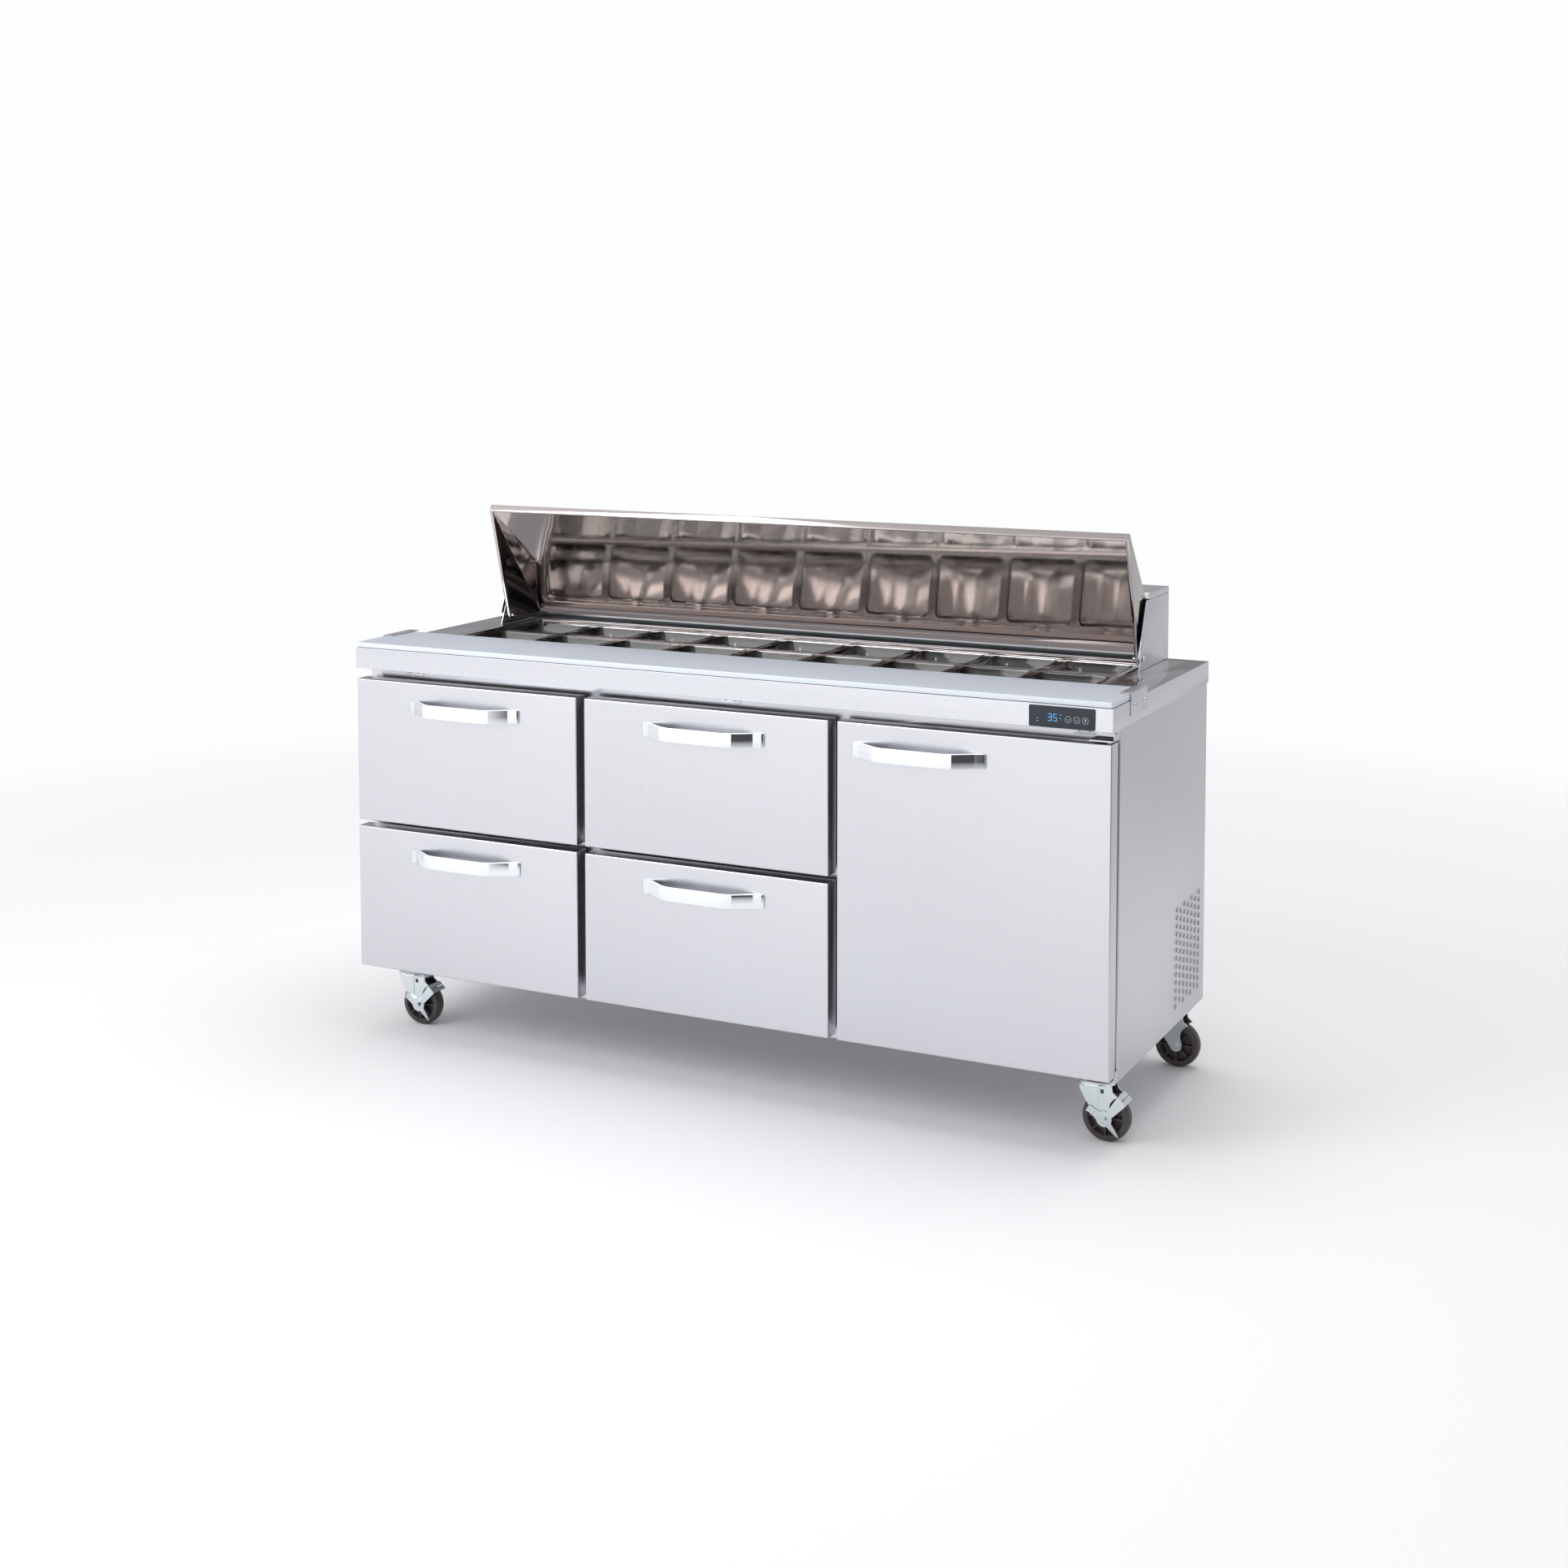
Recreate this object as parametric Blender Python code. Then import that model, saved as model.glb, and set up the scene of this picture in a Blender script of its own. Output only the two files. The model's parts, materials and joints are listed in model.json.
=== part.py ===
"""Refrigerated sandwich prep table on casters: two columns of drawers, one door, a raised lid
over a rail of food pans, and a full-width cutting board.

Units are metres, +Z is up, the front faces -Y, and the origin is on the floor, under the middle
of the table. Depths are given from the front face of the worktop, which is at FRONT_Y.
"""

import math

import bmesh
import bpy
from mathutils import Matrix, Vector

# ---------------------------------------------------------------- driving dimensions
CLEARANCE = 0.0004              # gap kept between neighbouring pieces
SHEET = 0.002                   # thickness of the folded sheet metal

TOP_WIDTH = 1.845               # worktop, left to right
TOP_DEPTH = 0.684               # worktop, front to back
TOP_HEIGHT = 0.920              # worktop surface above the floor
FASCIA_HEIGHT = 0.048           # folded front and side edges of the worktop
HANDLE_REACH = 0.042            # how far a handle stands out from its front
FRONT_Y = -(TOP_DEPTH - HANDLE_REACH) / 2

BOARD_DEPTH = 0.203
BOARD_THICKNESS = 0.0127

FRONT_WIDTH = 0.600             # drawer fronts and door
FRONT_PITCH = 0.620             # between the middles of the three columns
FRONT_THICKNESS = 0.040
FRONT_TOP = 0.8475
FRONT_BOTTOM = 0.165
DRAWER_GAP = 0.015              # between the upper and the lower front
COLUMNS = {"left": -FRONT_PITCH, "middle": 0.0, "right": FRONT_PITCH}

CABINET_SIDE = 0.920            # half the cabinet's width
CABINET_FACE = 0.055            # depth at which the front frame stands
CABINET_REAR = 0.6815
CABINET_BOTTOM = 0.1485
CABINET_TOP = TOP_HEIGHT - SHEET - CLEARANCE
WALL = 0.045                    # insulated walls
OPENING_INSET = 0.025           # the frame shows this much inside each front's edge

MACHINE_LEFT = 0.375            # machine compartment at the rear right, open to the back
MACHINE_FACE = 0.460
MACHINE_TOP = 0.430

WELL_LEFT_RIGHT = 0.800         # half the width of the pan opening
WELL_FRONT = 0.246
WELL_REAR = 0.594
WELL_FLOOR = 0.740
PAN_COUNT = 9
PAN_WIDTH = 0.1762
PAN_LENGTH = 0.1619
PAN_DEPTH = 0.100
PAN_PITCH = 0.1765

HOOD_SIDE = 0.8285              # half the hood's width
HOOD_HEIGHT = 1.085
CAP_HEIGHT = 0.0138
CAP_FRONT = 0.540

LID_SIDE = 0.8205               # half the lid's width
CHEEK = 0.008                   # thickness of the lid's two ends
LID_THICKNESS = 0.0135
LID_PIVOT = (0.492, 0.944)      # depth and height of the hinge axis
LID_LIP_TOP = (0.415, 1.2275)   # upper edge of the lip with the lid open
LID_LIP_FOOT = (0.4086, 1.2138)
LID_SLOPE = math.radians(52.2)  # the open lid leans forward at this slope
LID_SWING = 0.132               # the lid's rear edge turns at this radius, under the hood cap
PIVOT_LUG = 0.009
PIN_RADIUS = 0.004

HANDLE_LENGTH = 0.300
HANDLE_HEIGHT = 0.031
HANDLE_DROP = 0.056             # from a front's top edge to the handle's middle
DOOR_HANDLE_INSET = 0.035

CASTER_X = 0.8545
CASTER_FRONT = 0.128
CASTER_REAR = 0.637
CASTER_TRAIL = 0.022
WHEEL_RADIUS = 0.0508
WHEEL_WIDTH = 0.030
AXLE_RADIUS = 0.0045

HINGE_X = 0.908                 # door hinge axis
HINGE_DEPTH = 0.020

DISPLAY_LEFT = 0.7465
DISPLAY_RIGHT = 0.8855
DISPLAY_FOOT = 0.8735
DISPLAY_TOP = 0.9170


def depth(value):
    """Depth behind the worktop's front face, as a world Y."""
    return FRONT_Y + value


# ---------------------------------------------------------------- scene and materials
def clear_scene():
    for item in list(bpy.data.objects):
        bpy.data.objects.remove(item, do_unlink=True)


def make_material(name, colour, roughness, metallic=0.0, alpha=1.0):
    material = bpy.data.materials.new(name)
    material.use_nodes = True
    shader = material.node_tree.nodes["Principled BSDF"]
    shader.inputs["Base Color"].default_value = (*colour, 1.0)
    shader.inputs["Roughness"].default_value = roughness
    shader.inputs["Metallic"].default_value = metallic
    shader.inputs["Alpha"].default_value = alpha
    material.diffuse_color = (*colour, alpha)
    return material


# ---------------------------------------------------------------- mesh helpers
def add_box(bm, low, high):
    """A box from its lowest to its highest corner."""
    matrix = Matrix.Translation([(a + b) / 2 for a, b in zip(low, high)])
    matrix = matrix @ Matrix.Diagonal([b - a for a, b in zip(low, high)] + [1.0])
    bmesh.ops.create_cube(bm, size=1.0, matrix=matrix)


def add_prism(bm, outline, axis, start, end):
    """A flat outline swept along one axis. The outline holds the other two coordinates in order."""
    def point(pair, along):
        coords = list(pair)
        coords.insert(axis, along)
        return coords
    near = [bm.verts.new(point(pair, start)) for pair in outline]
    far = [bm.verts.new(point(pair, end)) for pair in outline]
    faces = [bm.faces.new(near), bm.faces.new(far)]
    count = len(outline)
    for index in range(count):
        after = (index + 1) % count
        faces.append(bm.faces.new((near[index], near[after], far[after], far[index])))
    bmesh.ops.recalc_face_normals(bm, faces=faces)


def add_turned(bm, profile, centre, axis, steps):
    """A closed (radius, along) profile turned about an axis through centre."""
    frame = Vector((0, 0, 1)).rotation_difference(Vector(axis)).to_matrix()
    rings = []
    for radius, along in profile:
        if radius < 1e-6:
            rings.append([bm.verts.new(Vector(centre) + frame @ Vector((0, 0, along)))])
            continue
        ring = []
        for step in range(steps):
            angle = 2 * math.pi * step / steps
            local = Vector((radius * math.cos(angle), radius * math.sin(angle), along))
            ring.append(bm.verts.new(Vector(centre) + frame @ local))
        rings.append(ring)
    faces = []
    pairs = list(zip(rings, rings[1:]))
    if len(rings[0]) > 1:
        pairs.append((rings[-1], rings[0]))
    for first, second in pairs:
        for step in range(steps):
            after = (step + 1) % steps
            corners = [first[step % len(first)], first[after % len(first)],
                       second[after % len(second)], second[step % len(second)]]
            unique = list(dict.fromkeys(corners))
            if len(unique) > 2:
                faces.append(bm.faces.new(unique))
    bmesh.ops.recalc_face_normals(bm, faces=faces)


def round_rectangle(x0, x1, y0, y1, radius, steps):
    """The corners of a rectangle, each one an arc of the given radius."""
    if radius <= 0:
        return [(x0, y0), (x1, y0), (x1, y1), (x0, y1)]
    centres = [(x0 + radius, y0 + radius, 180), (x1 - radius, y0 + radius, 270),
               (x1 - radius, y1 - radius, 0), (x0 + radius, y1 - radius, 90)]
    points = []
    for cx, cy, start in centres:
        for step in range(steps + 1):
            angle = math.radians(start + 90 * step / steps)
            points.append((cx + radius * math.cos(angle), cy + radius * math.sin(angle)))
    return points


def add_tray(bm, loops, steps=1):
    """A skin through level rectangles (x0, x1, y0, y1, z, corner radius), capped at both ends."""
    rings = []
    for x0, x1, y0, y1, z, radius in loops:
        outline = round_rectangle(x0, x1, y0, y1, radius, steps)
        rings.append([bm.verts.new((x, y, z)) for x, y in outline])
    faces = [bm.faces.new(rings[0]), bm.faces.new(rings[-1])]
    for first, second in zip(rings, rings[1:]):
        for index in range(len(first)):
            after = (index + 1) % len(first)
            faces.append(bm.faces.new((first[index], first[after], second[after], second[index])))
    bmesh.ops.recalc_face_normals(bm, faces=faces)


def add_slotted_plate(bm, across, along, thickness, axis):
    """A plate with slots: across and along are edge lines, and every second cell is a hole."""
    def point(u, v, t):
        coords = [u, v]
        coords.insert(axis, t)
        return coords
    front = {}
    back = {}
    for i, u in enumerate(across):
        for j, v in enumerate(along):
            front[i, j] = bm.verts.new(point(u, v, thickness[0]))
            back[i, j] = bm.verts.new(point(u, v, thickness[1]))
    solid = {(i, j) for i in range(len(across) - 1) for j in range(len(along) - 1)
             if i % 2 == 0 or j % 2 == 0}
    faces = []
    for i, j in sorted(solid):
        corners = [(i, j), (i + 1, j), (i + 1, j + 1), (i, j + 1)]
        faces.append(bm.faces.new([front[c] for c in corners]))
        faces.append(bm.faces.new([back[c] for c in reversed(corners)]))
        sides = [((i, j), (i + 1, j), (i, j - 1)), ((i + 1, j), (i + 1, j + 1), (i + 1, j)),
                 ((i + 1, j + 1), (i, j + 1), (i, j + 1)), ((i, j + 1), (i, j), (i - 1, j))]
        for first, second, neighbour in sides:
            if neighbour not in solid:
                faces.append(bm.faces.new((front[first], front[second], back[second], back[first])))
    bmesh.ops.recalc_face_normals(bm, faces=faces)


def slot_lines(start, end, slots, web):
    """Edge lines for evenly spaced slots, with a web of metal between them and at both ends."""
    width = (end - start - web * (slots + 1)) / slots
    lines = [start]
    for index in range(slots):
        lines.append(start + web * (index + 1) + width * index)
        lines.append(start + (web + width) * (index + 1))
    return lines + [end]


def make_object(name, bm, material, origin=(0, 0, 0), parent=None, bevel=0.0, smooth=False):
    """Turn a mesh built in world coordinates into an object with its origin where it turns."""
    bmesh.ops.translate(bm, vec=[-value for value in origin], verts=bm.verts)
    mesh = bpy.data.meshes.new(name)
    bm.to_mesh(mesh)
    bm.free()
    item = bpy.data.objects.new(name, mesh)
    bpy.context.scene.collection.objects.link(item)
    item.location = origin
    if parent:
        item.parent = parent
        item.location = Vector(origin) - parent.matrix_world.translation
    mesh.materials.append(material)
    if bevel:
        modifier = item.modifiers.new("edges", "BEVEL")
        modifier.width = bevel
        modifier.segments = 2
        modifier.limit_method = "ANGLE"
    if smooth:
        mesh.shade_smooth()
        mesh.set_sharp_from_angle(angle=math.radians(35))
    return item


def combine(item, build, operation):
    """Cut or join a second shape, and keep only the result."""
    bm = bmesh.new()
    build(bm)
    mesh = bpy.data.meshes.new("tool")
    bm.to_mesh(mesh)
    bm.free()
    tool = bpy.data.objects.new("tool", mesh)
    tool.hide_render = True
    tool.display_type = "WIRE"
    bpy.context.scene.collection.objects.link(tool)
    tool.matrix_world = Matrix.Identity(4)
    modifier = item.modifiers.new("shape", "BOOLEAN")
    modifier.operation = operation
    modifier.object = tool
    bpy.context.view_layer.update()
    graph = bpy.context.evaluated_depsgraph_get()
    result = bpy.data.meshes.new_from_object(item.evaluated_get(graph))
    item.modifiers.clear()
    item.data = result
    bpy.data.objects.remove(tool, do_unlink=True)


def joint_frame(name, place, parent=None):
    """An empty on a joint's axis, to which the moving pieces are parented."""
    item = bpy.data.objects.new(name, None)
    bpy.context.scene.collection.objects.link(item)
    item.location = place
    if parent:
        item.parent = parent
        item.location = Vector(place) - parent.matrix_world.translation
    bpy.context.view_layer.update()
    return item


# ---------------------------------------------------------------- cabinet
def build_cabinet(steel):
    """The insulated body: one cold chamber that narrows round the machine compartment, and its openings."""
    bm = bmesh.new()
    add_box(bm, (-CABINET_SIDE, depth(CABINET_FACE), CABINET_BOTTOM),
            (CABINET_SIDE, depth(CABINET_REAR), CABINET_TOP))
    cabinet = make_object("cabinet_body", bm, steel)
    inner_side = CABINET_SIDE - WALL
    inner_front = CABINET_FACE + WALL
    inner_rear = CABINET_REAR - WALL
    inner_floor = CABINET_BOTTOM + WALL
    step_x = MACHINE_LEFT - WALL
    step_front = MACHINE_FACE - WALL
    step_top = MACHINE_TOP + WALL
    above = CABINET_TOP + 0.01

    def chamber(bm):
        outline = [(-inner_side, inner_floor), (step_x, inner_floor), (step_x, step_top),
                   (inner_side, step_top), (inner_side, above), (-inner_side, above)]
        add_prism(bm, outline, 1, depth(inner_front), depth(inner_rear))

    def front_chamber(bm):
        add_box(bm, (step_x - WALL, depth(inner_front), inner_floor),
                (inner_side, depth(step_front), step_top + WALL))

    combine(cabinet, chamber, "DIFFERENCE")
    combine(cabinet, front_chamber, "DIFFERENCE")
    opening_top = FRONT_TOP - OPENING_INSET
    middle = (FRONT_TOP + FRONT_BOTTOM) / 2
    half_rail = DRAWER_GAP / 2 + OPENING_INSET
    spans = {"left": [(inner_floor, middle - half_rail), (middle + half_rail, opening_top)],
             "middle": [(inner_floor, middle - half_rail), (middle + half_rail, opening_top)],
             "right": [(inner_floor, opening_top)]}
    for column, centre in COLUMNS.items():
        half = FRONT_WIDTH / 2 - OPENING_INSET
        for low, high in spans[column]:
            left = max(centre - half, -inner_side)
            right = min(centre + half, inner_side)
            combine(cabinet, lambda bm: add_box(bm, (left, depth(0.04), low),
                                                (right, depth(inner_front + 0.01), high)),
                    "DIFFERENCE")
    combine(cabinet, lambda bm: add_box(bm, (MACHINE_LEFT, depth(MACHINE_FACE), CABINET_BOTTOM + SHEET),
                                        (CABINET_SIDE - SHEET, depth(TOP_DEPTH + 0.02), MACHINE_TOP)),
            "DIFFERENCE")
    return cabinet


def build_worktop(steel):
    """The top sheet with its folded skirt, cut out for the well."""
    half = TOP_WIDTH / 2
    skirt_foot = TOP_HEIGHT - FASCIA_HEIGHT
    bm = bmesh.new()
    add_box(bm, (-half, FRONT_Y, skirt_foot), (half, depth(TOP_DEPTH), TOP_HEIGHT))
    worktop = make_object("worktop", bm, steel)
    inner = half - SHEET
    combine(worktop, lambda bm: add_box(bm, (-inner, depth(SHEET), skirt_foot - 0.01),
                                        (inner, depth(TOP_DEPTH - SHEET), TOP_HEIGHT - SHEET)),
            "DIFFERENCE")
    reach = WELL_LEFT_RIGHT + SHEET + CLEARANCE
    edge = SHEET + CLEARANCE
    combine(worktop, lambda bm: add_box(bm, (-reach, depth(WELL_FRONT - edge), TOP_HEIGHT - 0.01),
                                        (reach, depth(WELL_REAR + edge), TOP_HEIGHT + 0.01)),
            "DIFFERENCE")
    return worktop


def build_pan_rail(steel, clear):
    """The liner that hangs in the worktop, its middle bar, and the two rows of pans on it."""
    flange = 0.012
    ledge = 0.003
    ledge_height = TOP_HEIGHT - 0.008
    seat = TOP_HEIGHT + CLEARANCE
    side = WELL_LEFT_RIGHT
    front = depth(WELL_FRONT)
    rear = depth(WELL_REAR)
    radius = 0.010

    def level(grow, z, corner):
        return (-side - grow, side + grow, front - grow, rear + grow, z, corner)

    bm = bmesh.new()
    add_tray(bm, [level(-ledge, WELL_FLOOR + SHEET, radius),
                  level(-ledge, ledge_height, radius),
                  level(0, ledge_height, radius + ledge),
                  level(0, seat + SHEET, radius + ledge),
                  level(flange, seat + SHEET, radius),
                  level(flange, seat, radius),
                  level(SHEET, seat, radius),
                  level(SHEET, ledge_height - SHEET, radius),
                  level(SHEET - ledge, ledge_height - SHEET, radius),
                  level(SHEET - ledge, WELL_FLOOR, radius)])
    make_object("well_liner", bm, steel)

    middle = depth((WELL_FRONT + WELL_REAR) / 2)
    half_bar = (WELL_REAR - WELL_FRONT - 2 * ledge - 2 * PAN_LENGTH) / 2 - 0.0015
    bm = bmesh.new()
    reach = side - ledge - CLEARANCE
    add_box(bm, (-reach, middle - half_bar, ledge_height - 0.030),
            (reach, middle + half_bar, ledge_height))
    make_object("well_divider_bar", bm, steel, bevel=0.001)

    rim_foot = ledge_height + CLEARANCE
    rim_top = rim_foot + 0.0035
    rim = 0.009
    wall = 0.0025
    taper = 0.006
    for row, sign in (("front", -1), ("rear", 1)):
        row_y = middle + sign * (PAN_LENGTH / 2 + 0.0035)
        pans = None
        for index in range(PAN_COUNT):
            centre_x = (index - (PAN_COUNT - 1) / 2) * PAN_PITCH
            half_x = PAN_PITCH / 2 + 0.0004
            if index in (0, PAN_COUNT - 1):
                half_x = PAN_WIDTH / 2
                centre_x -= math.copysign(0.0001, centre_x)
            half_y = PAN_LENGTH / 2

            def level(shrink, z, corner):
                return (centre_x - half_x + shrink, centre_x + half_x - shrink,
                        row_y - half_y + shrink, row_y + half_y - shrink, z, corner)

            bottom = rim_top - PAN_DEPTH
            loops = [level(rim + wall + taper, bottom + wall, 0.020),
                     level(rim + wall, rim_top, 0.014),
                     level(0, rim_top, 0.004),
                     level(0, rim_foot, 0.004),
                     level(rim, rim_foot, 0.012),
                     level(rim + taper, bottom, 0.020)]
            if pans is None:
                bm = bmesh.new()
                add_tray(bm, loops)
                pans = make_object("pans_" + row, bm, clear)
            else:
                combine(pans, lambda bm: add_tray(bm, loops), "UNION")


def build_hood(steel):
    """The fixed housing behind the well, which the raised lid leans on, and the cap that closes it."""
    top_of_side = HOOD_HEIGHT - CAP_HEIGHT - CLEARANCE
    foot = TOP_HEIGHT + CLEARANCE
    rear = TOP_DEPTH
    side_outline = [(0.4666, foot), (0.530, top_of_side), (rear, top_of_side), (rear, foot)]
    side_outline = [(depth(y), z) for y, z in side_outline]
    bm = bmesh.new()
    add_prism(bm, side_outline, 0, -HOOD_SIDE, HOOD_SIDE)
    hood = make_object("hood_body", bm, steel)
    sill_front = WELL_REAR + 0.018
    inner = HOOD_SIDE - SHEET
    hollow = [(0.40, foot - 0.01), (sill_front, foot - 0.01), (sill_front, foot + SHEET),
              (rear - SHEET, foot + SHEET), (rear - SHEET, top_of_side + 0.01), (0.40, top_of_side + 0.01)]
    hollow = [(depth(y), z) for y, z in hollow]
    combine(hood, lambda bm: add_prism(bm, hollow, 0, -inner, inner), "DIFFERENCE")
    for sign in (-1, 1):
        combine(hood, lambda bm: add_turned(
            bm, [(0, -0.01), (PIN_RADIUS + 0.0004, -0.01), (PIN_RADIUS + 0.0004, 0.01), (0, 0.01)],
            (sign * HOOD_SIDE, depth(LID_PIVOT[0]), LID_PIVOT[1]), (1, 0, 0), 16), "DIFFERENCE")

    cap_foot = HOOD_HEIGHT - CAP_HEIGHT
    bm = bmesh.new()
    add_box(bm, (-HOOD_SIDE, depth(CAP_FRONT), cap_foot), (HOOD_SIDE, depth(rear), HOOD_HEIGHT))
    cap = make_object("hood_cap", bm, steel)
    combine(cap, lambda bm: add_box(bm, (-inner, depth(CAP_FRONT + SHEET), cap_foot - 0.01),
                                    (inner, depth(rear - SHEET), HOOD_HEIGHT - SHEET)), "DIFFERENCE")


def lid_outline():
    """The lid's section when open, as (depth, height): a panel and the edge that meets the well."""
    along = Vector((math.cos(LID_SLOPE), -math.sin(LID_SLOPE)))
    across = Vector((math.sin(LID_SLOPE), math.cos(LID_SLOPE)))
    pivot = Vector(LID_PIVOT)
    lip_top = Vector(LID_LIP_TOP)
    lip_foot = Vector(LID_LIP_FOOT)

    def rear_edge(point):
        """Where the line through point, along the panel, leaves the circle of the lid's swing."""
        start = point - pivot
        foot = start - start.dot(along) * along
        return pivot + foot + along * math.sqrt(LID_SWING ** 2 - foot.length_squared)

    outer_rear = rear_edge(lip_top)
    inner_start = lip_top - across * LID_THICKNESS
    inner_rear = rear_edge(inner_start)
    return lip_foot, lip_top, outer_rear, inner_rear


def build_lid(steel, pin_steel):
    """The raised lid, hollow between its two cheeks, and the pins that it turns on."""
    lip_foot, lip_top, outer_rear, inner_rear = lid_outline()
    pivot = Vector(LID_PIVOT)
    lug = []
    for angle in range(197, 276, 13):
        turn = math.radians(angle)
        lug.append(pivot + PIVOT_LUG * Vector((math.cos(turn), math.sin(turn))))
    outline = [lip_foot, lip_top, outer_rear, inner_rear] + list(reversed(lug))
    place = (0, depth(pivot[0]), pivot[1])
    hinge = joint_frame("lid_hinge", place)
    bm = bmesh.new()
    add_prism(bm, [(depth(p[0]), p[1]) for p in outline], 0, -LID_SIDE, LID_SIDE)
    lid = make_object("lid", bm, steel)
    back = (inner_rear - lip_foot).normalized()
    hollow = [lip_foot + back * 0.004, inner_rear + back * 0.05, Vector((0.62, 0.86)), Vector((0.30, 0.86)),
              Vector((0.30, lip_foot[1] - 0.004))]
    inner = LID_SIDE - CHEEK
    combine(lid, lambda bm: add_prism(bm, [(depth(p[0]), p[1]) for p in hollow], 0, -inner, inner),
            "DIFFERENCE")
    combine(lid, lambda bm: add_turned(
        bm, [(0, -1), (PIN_RADIUS + 0.0004, -1), (PIN_RADIUS + 0.0004, 1), (0, 1)],
        place, (1, 0, 0), 16), "DIFFERENCE")
    lid.data.transform(Matrix.Translation(-Vector(place)))
    lid.parent = hinge
    for name, sign in (("left", -1), ("right", 1)):
        inside = sign * (LID_SIDE - CHEEK - 0.006)
        outside = sign * (HOOD_SIDE + CLEARANCE)
        head = sign * (HOOD_SIDE + 0.0035)
        bm = bmesh.new()
        add_turned(bm, [(0, inside), (PIN_RADIUS, inside), (PIN_RADIUS, outside), (0.0075, outside),
                        (0.0075, head), (0, head)], place, (1, 0, 0), 12)
        make_object("lid_pivot_" + name, bm, pin_steel, smooth=True)


# ---------------------------------------------------------------- board and its brackets
def build_board(plastic, steel):
    """The cutting board and the two side brackets that hook over its rear corners."""
    half = TOP_WIDTH / 2
    foot = TOP_HEIGHT + CLEARANCE
    top = foot + BOARD_THICKNESS
    bm = bmesh.new()
    add_box(bm, (-half + 0.001, depth(0.0005), foot), (half - 0.001, depth(BOARD_DEPTH), top))
    make_object("cutting_board", bm, plastic, origin=(0, depth(BOARD_DEPTH / 2), foot), bevel=0.002)
    plate = 0.0015
    hook_under = top + CLEARANCE
    for name, sign in (("left", -1), ("right", 1)):
        outside = half + CLEARANCE
        bm = bmesh.new()
        section = [(outside, 0.889), (outside + plate, 0.889), (outside + plate, hook_under + plate),
                   (outside - 0.024, hook_under + plate), (outside - 0.024, hook_under),
                   (outside, hook_under)]
        add_prism(bm, [(sign * x, z) for x, z in section], 1, depth(0.108), depth(0.216))
        make_object("board_bracket_" + name, bm, steel)


def build_display(gloss):
    bm = bmesh.new()
    outline = round_rectangle(DISPLAY_LEFT, DISPLAY_RIGHT, DISPLAY_FOOT, DISPLAY_TOP, 0.003, 3)
    add_prism(bm, outline, 1, depth(-0.0035), depth(-CLEARANCE))
    make_object("control_display", bm, gloss)


# ---------------------------------------------------------------- fronts
def add_handle(bm, middle_x, middle_z):
    """An arched flat bar, seen from above: two feet on the front and a straight grip."""
    half = HANDLE_LENGTH / 2
    bar = 0.0065
    grip = 0.076
    outer = [(half, 0.0), (half, -0.0045), (half - 0.022, -0.0130), (grip + 0.012, -HANDLE_REACH + 0.005),
             (grip - 0.010, -HANDLE_REACH)]
    inner = [(grip - 0.011, -HANDLE_REACH + bar), (grip + 0.008, -HANDLE_REACH + bar + 0.0045),
             (half - 0.030, -0.0080), (half - 0.034, 0.0)]
    outline = outer + [(-x, y) for x, y in reversed(outer)]
    outline += [(-x, y) for x, y in reversed(inner)] + inner
    outline = [(middle_x + x, depth(y - CLEARANCE)) for x, y in outline]
    add_prism(bm, outline, 2, middle_z - HANDLE_HEIGHT / 2, middle_z + HANDLE_HEIGHT / 2)


def add_ring(bm, centre_x, low, high, inset, width, near, far):
    """A rectangular ring lying against the back of a front: its gasket."""
    half = FRONT_WIDTH / 2 - inset
    lines_x = [centre_x - half, centre_x - half + width, centre_x + half - width, centre_x + half]
    lines_z = [low + inset, low + inset + width, high - inset - width, high - inset]
    add_slotted_plate(bm, lines_x, lines_z, (depth(near), depth(far)), 1)


def build_front(name, panel_name, column, low, high, handle_x, materials, parent, origin):
    """A front panel with its handle and the gasket on its back, all on one moving frame."""
    steel, chrome, rubber = materials
    centre = COLUMNS[column]
    half = FRONT_WIDTH / 2
    bm = bmesh.new()
    add_box(bm, (centre - half, FRONT_Y, low), (centre + half, depth(FRONT_THICKNESS), high))
    panel = make_object(panel_name, bm, steel, origin, parent)
    bm = bmesh.new()
    add_handle(bm, handle_x, high - HANDLE_DROP)
    make_object(name + "_handle", bm, chrome, origin, parent)
    bm = bmesh.new()
    add_ring(bm, centre, low, high, 0.010, 0.014, FRONT_THICKNESS + CLEARANCE, CABINET_FACE - 0.0012)
    make_object(name + "_gasket", bm, rubber, origin, parent)
    return panel


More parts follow.
